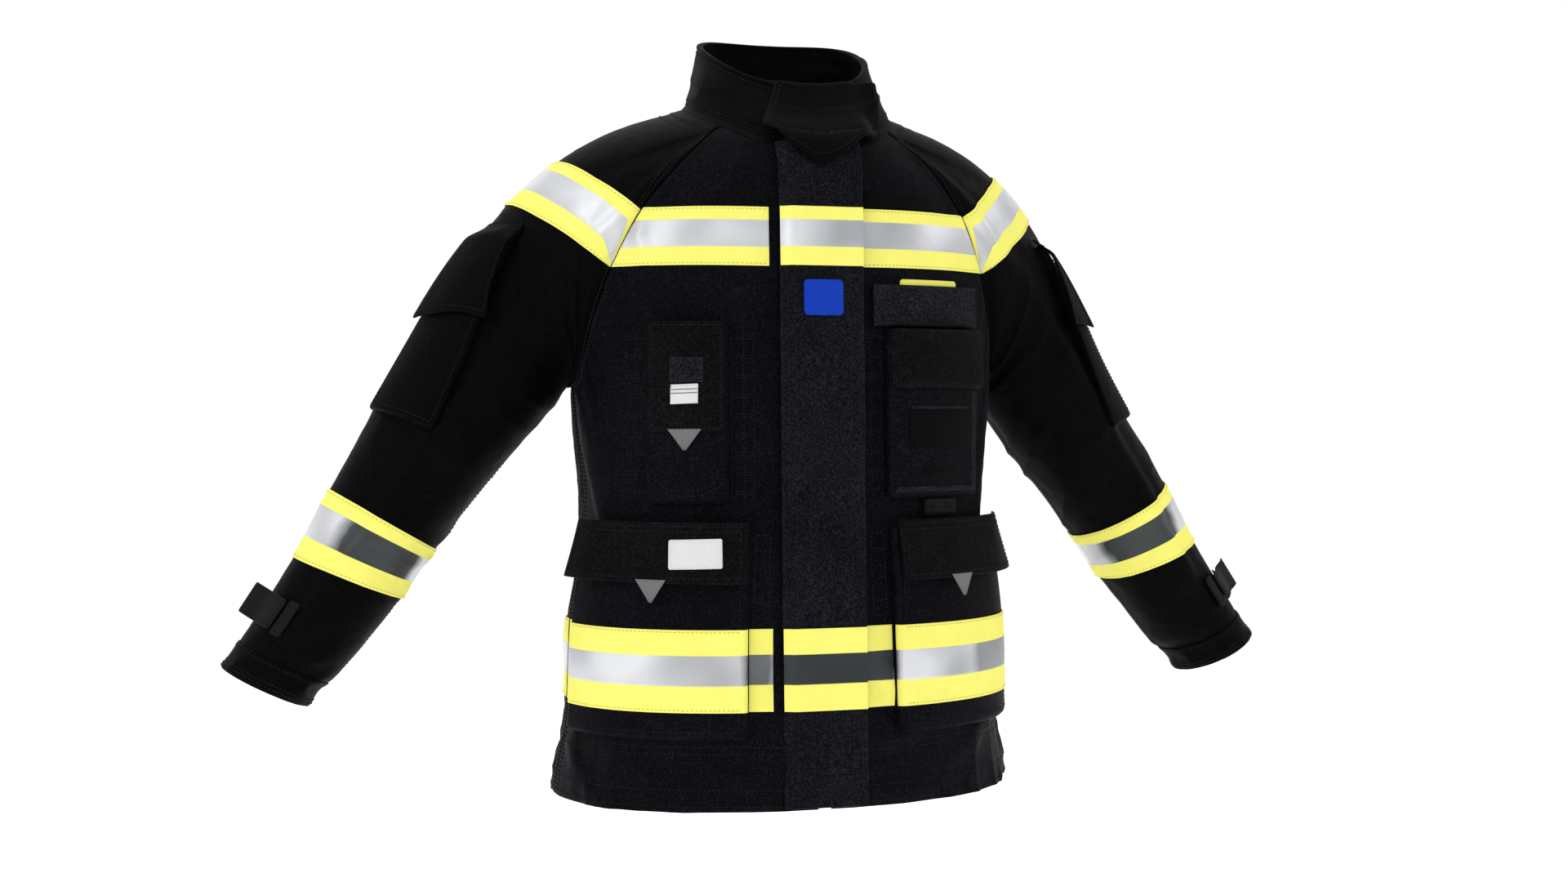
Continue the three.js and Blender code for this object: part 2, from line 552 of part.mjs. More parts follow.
// The origin is at the middle of the coat's box, at the height of the hem.
const box = new THREE.Box3().setFromObject(coat);
const middle = box.getCenter(new THREE.Vector3());
coat.position.set(-middle.x, -middle.y, -box.min.z);

export default coat;
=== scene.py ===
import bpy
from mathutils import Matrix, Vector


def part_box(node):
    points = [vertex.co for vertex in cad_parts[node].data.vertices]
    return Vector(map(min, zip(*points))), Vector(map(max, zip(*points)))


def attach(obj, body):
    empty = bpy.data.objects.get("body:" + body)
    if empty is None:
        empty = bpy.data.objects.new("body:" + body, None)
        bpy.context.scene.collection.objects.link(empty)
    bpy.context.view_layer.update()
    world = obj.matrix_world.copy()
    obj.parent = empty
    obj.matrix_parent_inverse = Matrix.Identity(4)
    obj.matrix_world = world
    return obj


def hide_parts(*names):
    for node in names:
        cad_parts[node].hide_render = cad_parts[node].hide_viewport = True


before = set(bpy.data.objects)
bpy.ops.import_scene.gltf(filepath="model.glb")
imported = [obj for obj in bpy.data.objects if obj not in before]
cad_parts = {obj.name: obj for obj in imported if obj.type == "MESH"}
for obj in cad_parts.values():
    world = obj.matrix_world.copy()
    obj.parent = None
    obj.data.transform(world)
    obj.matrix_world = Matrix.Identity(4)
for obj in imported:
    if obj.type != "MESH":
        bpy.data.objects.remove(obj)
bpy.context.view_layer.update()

import copy
import math

import bpy
import numpy as np
from mathutils import Vector

MM = 0.001

# ---- Driving dimensions, the same as the CAD model's ----

ARMPIT_Z = 459
ROUNDNESS = 0.9
FRONT_GAP = 7
SEAM_GAP = math.radians(0.25)
YOKE_Z = 700
TOP_ROW = 740
NECK_ARC = 0.08
NECK_EDGE = 1.5
RAGLAN_TOP_Z = 752.0
BACK_RAGLAN_TOP_Z = 790.0
YOKE_PULL = 1.15
UPPER = 0.4
BACK_AT_HEM = 150
HEM_FLARE = 5
STORM_TOP = 722
DEEPEST = 4.5
COLLAR_LAP = 0.1
COLLAR_DROP = 0.5
TAB_DROP = 80
STORM_HALF_WIDTH = 46
STORM_Z = (3, 708)
CHEST_TAPE = (589, 653)
HEM_TAPE = (108, 197)
FREE_HEM = HEM_TAPE[0] - 12
SIDE_DRAW = 3.5
WAIST_POCKET_Z = (78, 306)
WAIST_FLAP_Z = (246, 312)
WAIST_FLARE = 0.16
POCKET_U = (0.18, 0.875)
FLAP_U = (0.19, 0.865)
RADIO_X = (101, 182)
RADIO_Z = (332, 528)

# The CAD model is moved so that its origin is under the middle of its box.
SHIFT = np.array([0.0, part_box("back_panel")[1][1] / MM - BACK_AT_HEM, 0.0])


# ---- Curves and surfaces ----

def track(keys):
    """A smooth curve through (place, value) keys."""
    place = np.array([k[0] for k in keys], float)
    value = np.array([k[1] for k in keys], float)
    before = np.maximum(np.arange(len(keys)) - 1, 0)
    after = np.minimum(np.arange(len(keys)) + 1, len(keys) - 1)
    slope = (value[after] - value[before]) / (place[after] - place[before])

    def curve(x):
        x = np.clip(x, place[0], place[-1])
        i = np.clip(np.searchsorted(place, x) - 1, 0, len(place) - 2)
        step = place[i + 1] - place[i]
        t = (x - place[i]) / step
        rise = t * t * (3 - 2 * t)
        return (
            value[i] * (1 - rise) + value[i + 1] * rise
            + slope[i] * step * t * (1 - t) ** 2 - slope[i + 1] * step * t * t * (1 - t)
        )

    return curve


half_width = track([
    (0, 263), (110, 254), (200, 250), (334, 235), (ARMPIT_Z, 244), (520, 246), (600, 240), (660, 225),
    (710, 190), (750, 142), (776, 117), (795, 108),
])
front_depth = track([(0, 171), (340, 159), (690, 146.6), (720, 136), (750, 114), (795, 98)])
back_depth = track([
    (0, BACK_AT_HEM), (200, 145), (334, 132), (ARMPIT_Z, 138), (560, 142), (640, 138), (710, 122), (760, 100),
    (795, 82),
])
raglan_x = track([
    (ARMPIT_Z, 244), (520, 236), (589, 216), (651, 186), (700, 147), (735, 110), (752, 90), (790, 72),
])
neck_z = track([(0, 720), (0.3, 729), (0.62, 747), (1.57, 776), (2.52, 790), (math.pi, 795)])
arm_x = track([(0, 330), (0.5, 455), (0.67, 495), (1, 583)])
arm_z = track([(0, 495), (0.5, 312), (0.67, 247), (1, 127)])
arm_y = track([(0, 38), (0.5, 52), (1, 48)])
arm_wide = track([(0, 87), (0.5, 66.5), (0.67, 61), (1, 52)])
arm_deep = track([(0, 84), (0.5, 66), (1, 54)])
arm_lean = track([(0, 0.594), (0.5, 0.527), (1, 0.472)])


def angle_of(share):
    return np.arcsin(np.minimum(share, 1) ** (1 / ROUNDNESS))


def bent(value):
    return np.sign(value) * np.abs(value) ** ROUNDNESS


def smooth(x, low=0.0, high=1.0):
    t = np.clip((x - low) / (high - low), 0, 1)
    return t * t * (3 - 2 * t)


def mix(a, b, t):
    return a + (b - a) * t


def stack(x, y, z):
    return np.stack(np.broadcast_arrays(x, y, z), axis=-1).astype(float)


def body_point(angle, z):
    depth = np.where(np.cos(angle) > 0, front_depth(z), back_depth(z))
    return stack(half_width(z) * bent(np.sin(angle)), -depth * bent(np.cos(angle)), z)


def edge_angle(z):
    return np.where(z <= ARMPIT_Z, math.pi / 2, angle_of(raglan_x(z) / half_width(z)))


RAGLAN_TOP = float(edge_angle(RAGLAN_TOP_Z))
BACK_RAGLAN_TOP = float(edge_angle(BACK_RAGLAN_TOP_Z))


def row_height(row, top):
    return np.where(row <= YOKE_Z, row, YOKE_Z + (row - YOKE_Z) / (TOP_ROW - YOKE_Z) * (top - YOKE_Z))


def front_point(u, row):
    """The wearer's left front panel: u from the front edge to the seam."""
    z = row_height(row, neck_z(u * RAGLAN_TOP) - NECK_EDGE)
    start = angle_of(FRONT_GAP / half_width(z))
    return body_point(mix(start, edge_angle(z) - SEAM_GAP, u), z)


def back_point(u, row):
    z = row_height(row, neck_z(math.pi - np.abs(u) * BACK_RAGLAN_TOP) - NECK_EDGE)
    return body_point(math.pi + u * (edge_angle(z) - SEAM_GAP), z)


def sleeve_edge(turn):
    """The sleeve's edge where it meets the body: turn 0 at the shoulder, 0.5 at the armpit."""
    front = turn <= 0.5
    t = np.where(front, turn, 1 - turn)
    top = np.where(front, RAGLAN_TOP, BACK_RAGLAN_TOP)
    neck = mix(math.pi / 2, top + SEAM_GAP, np.minimum(t / NECK_ARC, 1))
    neck = np.where(front, neck, math.pi - neck)
    on_neck = body_point(neck, neck_z(neck) - NECK_EDGE)
    down = np.clip((t - NECK_ARC) / (0.5 - NECK_ARC), 0, 1)
    z = mix(np.where(front, RAGLAN_TOP_Z, BACK_RAGLAN_TOP_Z), ARMPIT_Z, down)
    seam = edge_angle(z) + SEAM_GAP
    seam = np.where(front, seam, math.pi - seam)
    on_seam = body_point(seam, np.minimum(z, neck_z(np.where(front, top, math.pi - top)) - NECK_EDGE))
    return np.where((t < NECK_ARC)[..., None], on_neck, on_seam)


def arm_point(turn, along):
    across = np.cos(turn * 2 * math.pi) * arm_wide(along)
    lean = arm_lean(along)
    return stack(
        arm_x(along) + across * np.cos(lean),
        arm_y(along) - np.sin(turn * 2 * math.pi) * arm_deep(along),
        arm_z(along) + across * np.sin(lean),
    )


SHOULDER_WAY = np.array([0.98, 0, -0.2])
ARM_WAY = np.array([0.5, 0, -0.866])


def unit(v):
    return v / np.maximum(np.linalg.norm(v, axis=-1, keepdims=True), 1e-9)


def sleeve_point(turn, v):
    """The wearer's left sleeve: v from 0 at the seam to 1 at the cuff."""
    turn, v = np.broadcast_arrays(np.mod(turn, 1.0), v)
    arm = arm_point(turn, np.maximum((v - UPPER) / (1 - UPPER), 0))
    start, end = sleeve_edge(turn), arm_point(turn, np.zeros_like(turn))
    reach = np.linalg.norm(end - start, axis=-1)[..., None]
    shoulder = np.exp(-((np.minimum(turn, 1 - turn) / 0.16) ** 2))[..., None]
    leave = unit(mix(unit(end - start), SHOULDER_WAY, shoulder))
    t = np.minimum(v / UPPER, 1)[..., None]
    rise = t * t * (3 - 2 * t)
    yoke = (
        start * (1 - rise) + end * rise
        + leave * YOKE_PULL * reach * t * (1 - t) ** 2 - ARM_WAY * YOKE_PULL * reach * t * t * (1 - t)
    )
    return np.where((v >= UPPER)[..., None], arm, yoke)


def collar_point(angle, v):
    """The collar: v from 0 at its base to 1 at its top edge.
    Below 0 it laps over the shell's edge, and below -COLLAR_LAP it goes on down the body."""
    wrapped = np.where(angle > math.pi, angle - 2 * math.pi, angle)
    neck = neck_z(np.abs(wrapped))
    base = body_point(angle, neck) * [0.975, 0.975, 1] + [0, 0, 3]
    low = neck - 4 + TAB_DROP * np.minimum(np.asarray(v, float) + COLLAR_LAP, 0)
    lap = body_point(angle, low) * [1.007, 1.007, 1]
    deep = np.where(np.cos(angle) > 0, 99, 79)
    top_z = 792 + 74 * (1 - (np.cos(angle / 2) ** 2) ** 1.8)
    top = stack(96 * bent(np.sin(angle)), -deep * bent(np.cos(angle)), top_z)
    v = np.asarray(v, float)[..., None]
    return np.where(v >= 0, mix(base, top, v), mix(base, lap, smooth(-v, 0, COLLAR_LAP)))


def storm_point(x, z):
    return body_point(np.sign(x) * angle_of(np.abs(x) / half_width(z)), z)


# ---- Cloth surfaces that hold their wrinkles ----

def lattice_noise(points, size, seed):
    """Smooth noise from 0 to 1 with features about size across. size may differ along X, Y and Z."""
    table = np.random.default_rng(seed).random((32, 32, 32))
    p = points / np.asarray(size, float) + 100
    cell = np.floor(p).astype(int)
    f = p - cell
    f = f * f * (3 - 2 * f)
    total = 0
    for i in (0, 1):
        for j in (0, 1):
            for k in (0, 1):
                c = (cell + [i, j, k]) % 32
                weight = (
                    np.where(i, f[..., 0], 1 - f[..., 0]) * np.where(j, f[..., 1], 1 - f[..., 1])
                    * np.where(k, f[..., 2], 1 - f[..., 2])
                )
                total = total + weight * table[c[..., 0], c[..., 1], c[..., 2]]
    return total


def ridges(points, size, seed):
    """Noise folded into soft ridges, from 0 in the valleys to 1 on the crests."""
    return (1 - np.abs(2 * lattice_noise(points, size, seed) - 1)) ** 2


def quads(number):
    """The quads between neighbours in a grid of vertex numbers."""
    corners = [number[:-1, :-1], number[1:, :-1], number[1:, 1:], number[:-1, 1:]]
    return np.stack(corners, -1).reshape(-1, 4)


class Surface:
    """A smooth surface sampled on a grid, with the height that the cloth stands off it at each crossing."""

    def __init__(self, point, u_range, v_range, counts, closed=False):
        self.u = np.linspace(*u_range, counts[0])
        self.v = np.linspace(*v_range, counts[1])
        self.closed = closed
        self.points = point(self.u[:, None], self.v[None, :])
        self.height = np.zeros(counts)
        if closed:
            wrapped = np.concatenate([self.points[-2:-1], self.points, self.points[1:2]])
            across = wrapped[2:] - wrapped[:-2]
        else:
            across = np.gradient(self.points, axis=0)
        self.normals = unit(np.cross(across, np.gradient(self.points, axis=1)))

    def rumple(self, height):
        """Adds wrinkles. The cloth sinks less than it rises, because the lining is behind it."""
        total = self.height + height
        self.height = np.where(total < 0, DEEPEST * np.tanh(total / DEEPEST), total)

    def softened(self, height, passes):
        for _ in range(passes):
            if self.closed:
                ring = np.concatenate([height[-2:-1], height, height[1:2]])
                height = (ring[:-2] + 2 * ring[1:-1] + ring[2:]) / 4
            else:
                height[1:-1] = (height[:-2] + 2 * height[1:-1] + height[2:]) / 4
            height[:, 1:-1] = (height[:, :-2] + 2 * height[:, 1:-1] + height[:, 2:]) / 4
        return height

    def stiff(self, share=0.4, passes=60):
        """The same surface for firm pieces, which bridge the wrinkles under them."""
        twin = copy.copy(self)
        twin.height = share * self.softened(self.height.copy(), passes)
        return twin

    def simulate(self, slack, hold, reach, skip=3, frames=22, gravity=0.25):
        """Lets Blender's cloth buckle with some slack, held where hold is 1, and keeps its new height."""
        columns = sorted({*range(0, len(self.u), skip), len(self.u) - 1})
        rows = sorted({*range(0, len(self.v), skip), len(self.v) - 1})
        if self.closed:
            columns = columns[:-1]
        picked = np.ix_(columns, rows)
        coarse = self.points[picked] + self.normals[picked] * self.height[picked][..., None]
        number = np.arange(len(columns) * len(rows)).reshape(len(columns), len(rows))
        if self.closed:
            number = np.concatenate([number, number[:1]])
        mesh = bpy.data.meshes.new("simulated")
        mesh.from_pydata((coarse.reshape(-1, 3) * MM).tolist(), [], quads(number).tolist())
        sample = bpy.data.objects.new("simulated", mesh)
        bpy.context.scene.collection.objects.link(sample)
        group = sample.vertex_groups.new(name="hold")
        for index, weight in enumerate(hold[picked].ravel()):
            group.add([index], float(np.clip(weight, 0, 1)), "REPLACE")
        modifier = sample.modifiers.new("cloth", "CLOTH")
        settings = modifier.settings
        settings.quality = 6
        settings.mass = 0.35
        settings.tension_stiffness = settings.compression_stiffness = 25
        settings.shear_stiffness = 8
        settings.bending_stiffness = 2.5
        settings.air_damping = 4
        settings.vertex_group_mass = "hold"
        settings.pin_stiffness = 4
        settings.shrink_min = -slack
        settings.effector_weights.gravity = gravity
        modifier.collision_settings.use_self_collision = False
        modifier.collision_settings.use_collision = False
        modifier.point_cache.frame_end = frames
        for frame_number in range(1, frames + 1):
            bpy.context.scene.frame_set(frame_number)
        shaped = sample.evaluated_get(bpy.context.evaluated_depsgraph_get()).to_mesh()
        moved = np.empty(len(shaped.vertices) * 3)
        shaped.vertices.foreach_get("co", moved)
        bpy.data.objects.remove(sample)
        bpy.context.scene.frame_set(1)
        height = ((moved.reshape(coarse.shape) / MM - coarse) * self.normals[picked]).sum(-1)
        height = reach * np.tanh(height / reach)
        places = list(columns)
        if self.closed:
            height = np.concatenate([height, height[:1]])
            places.append(len(self.u) - 1)
        full = np.array([np.interp(np.arange(len(self.u)), places, height[:, j]) for j in range(len(rows))]).T
        full = np.array([np.interp(np.arange(len(self.v)), rows, line) for line in full])
        self.rumple(self.softened(full, 4))

    def at(self, u, v, off=0.0, bare=False):
        """Points a distance off the cloth, or off the smooth surface under it if bare."""
        u, v = np.broadcast_arrays(np.asarray(u, float), np.asarray(v, float))
        if self.closed:
            u = np.mod(u, 1.0)
        fu = np.clip((u - self.u[0]) / (self.u[-1] - self.u[0]), 0, 1) * (len(self.u) - 1)
        fv = np.clip((v - self.v[0]) / (self.v[-1] - self.v[0]), 0, 1) * (len(self.v) - 1)
        i = np.minimum(fu.astype(int), len(self.u) - 2)
        j = np.minimum(fv.astype(int), len(self.v) - 2)
        a, b = fu - i, fv - j

        def blend(grid):
            x, y = (a[..., None], b[..., None]) if grid.ndim == 3 else (a, b)
            return mix(mix(grid[i, j], grid[i + 1, j], x), mix(grid[i, j + 1], grid[i + 1, j + 1], x), y)

        lift = np.asarray(off) + (0 if bare else blend(self.height))
        return blend(self.points) + unit(blend(self.normals)) * lift[..., None]


def body_wrinkles(points, edge):
    """The broad wrinkles of the body, before the cloth buckles. edge is 0 on a seam and 1 inside a panel."""
    low = smooth(-points[..., 2], -300, -40)
    drape = (ridges(points, (58, 66, 330), 11) - 0.3) * mix(1.2, 3.4, low)
    broad = (lattice_noise(points, (110, 110, 90), 12) - 0.5) * 4
    crush = (ridges(points + points[..., [2, 0, 1]] * 0.5, (34, 44, 26), 13) - 0.35) * mix(0.5, 1.6, low)
    return (drape + broad + crush) * edge


def sleeve_wrinkles(turn, v):
    elbow = np.exp(-(((v - 0.64) / 0.13) ** 2))
    armpit = np.exp(-(((v - 0.3) / 0.14) ** 2)) * (0.2 + 0.8 * smooth(-np.cos(turn * 2 * math.pi), -0.3, 1))
    angle = turn * 2 * math.pi
    # The folds run round the arm on a slant, closer together inside the elbow.
    tube = stack(np.sin(angle) * 70, np.cos(angle) * 70, v * 780 + 60 * np.sin(angle + 0.6))
    folds = (ridges(tube, (90, 90, 42), 21) - 0.3) * (1.4 + 2.8 * elbow + 3.0 * armpit)
    broad = (lattice_noise(tube, (90, 90, 120), 22) - 0.5) * 5
    return (folds + broad) * smooth(v, 0.0, 0.09) * mix(1, 0.3, smooth(v, 0.93, 1))


def rucking(points, seed):
    """The small creases of a stiff, handled cloth."""
    crease = (ridges(points + points[..., [1, 2, 0]] * 0.6, (19, 24, 17), seed) - 0.35) * 0.6
    return crease + (lattice_noise(points, 9, seed + 1) - 0.5) * 0.3


def near_band(v, low_high, soft=14):
    """1 inside a band of rows and 0 outside it."""
    return smooth(v, low_high[0] - soft, low_high[0]) * smooth(-v, -low_high[1] - soft, -low_high[1])


def below_tape(z):
    """1 at the hem's edge and 0 from just under the hem tape upwards."""
    return smooth(FREE_HEM - z, 0, FREE_HEM)


def drawn_in(z):
    """How far the side seams are drawn in low on the body."""
    return SIDE_DRAW * smooth(-z, -420, -240)


def prepare_panel(surface, sign):
    u, v = np.meshgrid(surface.u, surface.v, indexing="ij")
    is_back = surface.u[0] < 0
    to_seam = np.minimum(1 - u, 1 + u) if is_back else 1 - u
    outward = 1 - to_seam
    inward = to_seam if is_back else np.minimum(to_seam, u + 0.12)
    edge = smooth(inward, 0, 0.09) * smooth(TOP_ROW - v, 0, 60)
    mirrored = surface.points * [sign, 1, 1]
    surface.rumple(body_wrinkles(mirrored, edge))
    border = to_seam if is_back else np.minimum(to_seam, u + 0.004)
    hold = np.maximum.reduce([
        1 - smooth(border, 0.0, 0.02), smooth(v, TOP_ROW - 12, TOP_ROW), 0.02 * near_band(v, CHEST_TAPE),
        0.02 * near_band(v, HEM_TAPE), 1 - smooth(v, 0, 4),
    ])
    surface.simulate(0.02, hold, 4)
    surface.rumple(rucking(mirrored, 14) * edge)
    below = below_tape(v)
    buckles = (ridges(mirrored, (26, 26, 190), 15) - 0.35) * 4.2 * smooth(outward, 0.15, 0.6)
    surface.rumple(buckles * below * edge)
    surface.rumple(-drawn_in(v) * smooth(outward, 0.5, 1))
    surface.rumple(HEM_FLARE * (smooth(outward, 0.35, 1) + 0.6 * smooth(outward, 0.86, 1)) * below ** 1.4)


def prepare_sleeve(surface, sign):
    turn, v = np.meshgrid(surface.u, surface.v, indexing="ij")
    surface.rumple(sleeve_wrinkles(turn + (0.0 if sign > 0 else 0.31), v))
    surface.simulate(0.03, np.maximum(1 - smooth(v, 0.0, 0.02), smooth(v, 0.985, 1.0)), 4)
    surface.rumple(rucking(surface.points * [sign, 1, 1], 23) * smooth(v, 0.0, 0.06))


fronts, sleeves = {}, {}
for side, sign in (("left", 1), ("right", -1)):
    fronts[side] = Surface(front_point, (0, 1), (0, TOP_ROW), (110, 300))
    prepare_panel(fronts[side], sign)
    sleeves[side] = Surface(sleeve_point, (0, 1), (0, 1), (180, 320), closed=True)
    prepare_sleeve(sleeves[side], sign)
back = Surface(back_point, (-1, 1), (0, TOP_ROW), (200, 300))
prepare_panel(back, 1)
pocket_fronts = {side: fronts[side].stiff() for side in fronts}
pocket_sleeves = {side: sleeves[side].stiff() for side in sleeves}

# The left sleeve hangs slack, and it has fallen in along its outer side together with its pocket.
turn, v = np.meshgrid(sleeves["left"].u, sleeves["left"].v, indexing="ij")
fallen_in = 17 * smooth(-np.minimum(turn, 1 - turn), -0.26, -0.04) * np.exp(-(((v - 0.45) / 0.18) ** 2))
for surface in (sleeves["left"], pocket_sleeves["left"]):
    surface.height = surface.height - fallen_in

collar = Surface(collar_point, (-0.45, 2 * math.pi + 0.45), (-COLLAR_DROP, 1.02), (300, 120))
angle, v = np.meshgrid(collar.u, collar.v, indexing="ij")
tube = stack(np.sin(angle) * 100, np.cos(angle) * 100, v * 90)
buckle = (ridges(tube, (60, 60, 26), 31) - 0.35) * 2.4 + (lattice_noise(tube, (34, 34, 50), 32) - 0.5) * 1.6
collar.rumple(buckle * smooth(v, 0, 0.25) * mix(1, 0.6, smooth(v, 0.8, 1)))

storm = Surface(storm_point, (-STORM_HALF_WIDTH, STORM_HALF_WIDTH), (STORM_Z[0], STORM_TOP), (50, 300))
x, z = np.meshgrid(storm.u, storm.v, indexing="ij")
broad = (lattice_noise(stack(x, z, 0), (60, 90, 50), 41) - 0.5) * 2.4
storm.rumple(broad + rucking(stack(x, 0, z), 42) * 0.5)


def front_uv(x, z):
    """The place on a front panel of a point x from the centre line at height z."""
    start = angle_of(FRONT_GAP / half_width(z))
    u = (angle_of(np.maximum(x, FRONT_GAP) / half_width(z)) - start) / (edge_angle(z) - SEAM_GAP - start)
    return np.clip(u, 0, 1), z


# ---- Meshes ----

def mesh_from(name, points, faces, uv=None, band=None, rim=None, mirror=False):
    """A mesh in metres from points in millimetres.
    uv and band are per point, and rim is how near each point is to an edge."""
    points = points * [-1, 1, 1] if mirror else points
    if mirror:
        faces = [face[::-1] for face in faces]
    mesh = bpy.data.meshes.new(name)
    mesh.from_pydata(((points + SHIFT) * MM).tolist(), [], faces)
    loops = np.array([loop.vertex_index for loop in mesh.loops])
    for layer_name, values in (("weave", uv), ("band", band)):
        if values is not None:
            layer = mesh.uv_layers.new(name=layer_name)
            layer.data.foreach_set("uv", np.asarray(values, float)[loops].ravel())
    if rim is not None:
        attribute = mesh.attributes.new("rim", "FLOAT", "POINT")
        attribute.data.foreach_set("value", np.asarray(rim, float))
    mesh.polygons.foreach_set("use_smooth", [True] * len(mesh.polygons))
    mesh.update()
    return mesh


def edge_lines(count, width, radius):
    """Places from 0 to 1 across a piece that is width across, with extra lines round its two edges."""
    near = [radius * (1 - math.cos(a)) / width for a in np.linspace(0, math.pi / 2, 4)[1:]]
    low, high = near[-1], 1 - near[-1]
    middle = np.linspace(low, high, max(count, 2) + 1)[1:-1]
    return np.array([0, *near, *middle, *[1 - n for n in near[::-1]], 1])


def slab(surface, place, size, off, thick, density, radius=None, bulge=None, ring=False, dent=0):
    """Cloth of a given thickness lying off a surface, with rounded edges and a point each density.
    place(s, t) gives surface coordinates for s and t from 0 to 1, and size is the piece's width and height.
    off may be a function of (s, t), and bulge is one. Its back takes the share dent of the bulge.
    Returns points, faces, weave coordinates, band coordinates and rim."""
    width, height = size
    radius = min(radius or thick * 0.6, 0.3 * min(size))
    if ring:
        s = np.linspace(0, 1, int(width / density) + 1)
    else:
        s = edge_lines(int(width / density), width, radius)
    t = edge_lines(int(height / density), height, radius)
    S, T = np.meshgrid(s, t, indexing="ij")
    u, v = place(S, T)
    to_side = np.full_like(S, 1e3) if ring else np.minimum(S, 1 - S) * width
    inward = np.minimum(to_side, np.minimum(T, 1 - T) * height)
    rise = np.sqrt(np.clip(1 - (1 - np.minimum(inward / radius, 1)) ** 2, 0, 1))
    base = off(S, T) if callable(off) else np.full_like(S, float(off))
    lift = bulge(S, T) * smooth(inward, 0, 6) if bulge else 0
    middle = base + thick * 0.5
    top = surface.at(u, v, middle + thick * 0.5 * rise + lift)
    low = surface.at(u, v, middle - thick * 0.5 * rise + dent * lift)
    ns, nt = S.shape
    columns = ns - 1 if ring else ns
    points = [top[:columns].reshape(-1, 3)]
    index_top = np.arange(columns * nt).reshape(columns, nt)
    index_low = index_top.copy()
    inside = np.zeros((columns, nt), bool)
    inside[slice(None) if ring else slice(1, -1), 1:-1] = True
    index_low[inside] = columns * nt + np.arange(inside.sum())
    points.append(low[:columns][inside])
    if ring:
        index_top = np.concatenate([index_top, index_top[:1]])
        index_low = np.concatenate([index_low, index_low[:1]])
    faces = quads(index_top).tolist()
    for quad in quads(index_low)[:, [0, 3, 2, 1]].tolist():
        corners = list(dict.fromkeys(quad))
        if len(corners) > 2:
            faces.append(corners)
    flat = np.stack([S * width * MM, T * height * MM], -1)
    share = np.stack([S, T], -1)
    near = np.exp(-inward / 2.2)

    def both(values):
        """The values for the top's points, then for the back's own."""
        values = values[:columns]
        return np.concatenate([values.reshape(-1, *values.shape[2:]), values[inside]])

    return np.concatenate(points), faces, both(flat), both(share), both(near)


def rounded(place, size, radius, cut=0.0):
    """The same piece with rounded corners, or with its two lower corners cut off."""

    def shaped(s, t):
        up = np.minimum(t, 1 - t) * size[1]
        inset = radius - np.sqrt(np.maximum(radius ** 2 - np.maximum(radius - up, 0) ** 2, 0))
        inset = np.maximum(inset, cut - t * size[1]) / size[0]
        return place(mix(inset, 1 - inset, s), t)

    return shaped


def crown(height):
    """Stuffing that is fullest in the middle of a piece."""
    return lambda s, t: height * (
        np.maximum(np.sin(math.pi * s), 0) * np.maximum(np.sin(math.pi * t), 0)
    ) ** 0.6


def joined(parts):
    """Several slabs as one."""
    points, faces, uv, band, rim = [], [], [], [], []
    count = 0
    for p, f, w, b, r in parts:
        faces += [[i + count for i in face] for face in f]
        count += len(p)
        points.append(p), uv.append(w), band.append(b), rim.append(r)
    return np.concatenate(points), faces, np.concatenate(uv), np.concatenate(band), np.concatenate(rim)


def stitches(surface, path, length=3.4, gap=1.5, width=0.9, height=0.7):
    """A row of stitches along a path of (u, v, distance off the cloth), each a small lens on the cloth."""
    fine = np.linspace(0, len(path) - 1, len(path) * 12)
    steps = np.arange(len(path))

    def along(place, lift=0.0):
        u, v, off = (np.interp(place, steps, path[:, k]) for k in range(3))
        return surface.at(u, v, off + lift)

    run = np.concatenate([[0], np.cumsum(np.linalg.norm(np.diff(along(fine), axis=0), axis=1))])
    starts = np.arange(gap, run[-1] - length, length + gap)
    tail, middle, head = (np.interp(starts + length * share, run, fine) for share in (0, 0.5, 1))
    up = unit(along(middle, 1.0) - along(middle))
    way = unit(along(head) - along(tail))
    side = np.cross(up, way)
    rings = [along(tail)[:, None]]
    for shift in (-0.25, 0.25):
        centre = along(middle) + way * length * shift
        ring = (side * width / 2, up * height, -side * width / 2, -up * height * 0.4)
        rings.append(np.stack([centre + reach for reach in ring], 1))
    points = np.concatenate([*rings, along(head)[:, None]], 1)
    faces = []
    for base in range(0, 10 * len(starts), 10):
        for m in range(4):
            n = (m + 1) % 4
            faces.append([base, base + 1 + n, base + 1 + m])
            faces.append([base + 1 + m, base + 1 + n, base + 5 + n, base + 5 + m])
            faces.append([base + 9, base + 5 + m, base + 5 + n])
    blank = np.zeros((len(points) * 10, 2))
    return points.reshape(-1, 3), faces, blank, blank, np.zeros(len(blank))


# ---- Materials ----

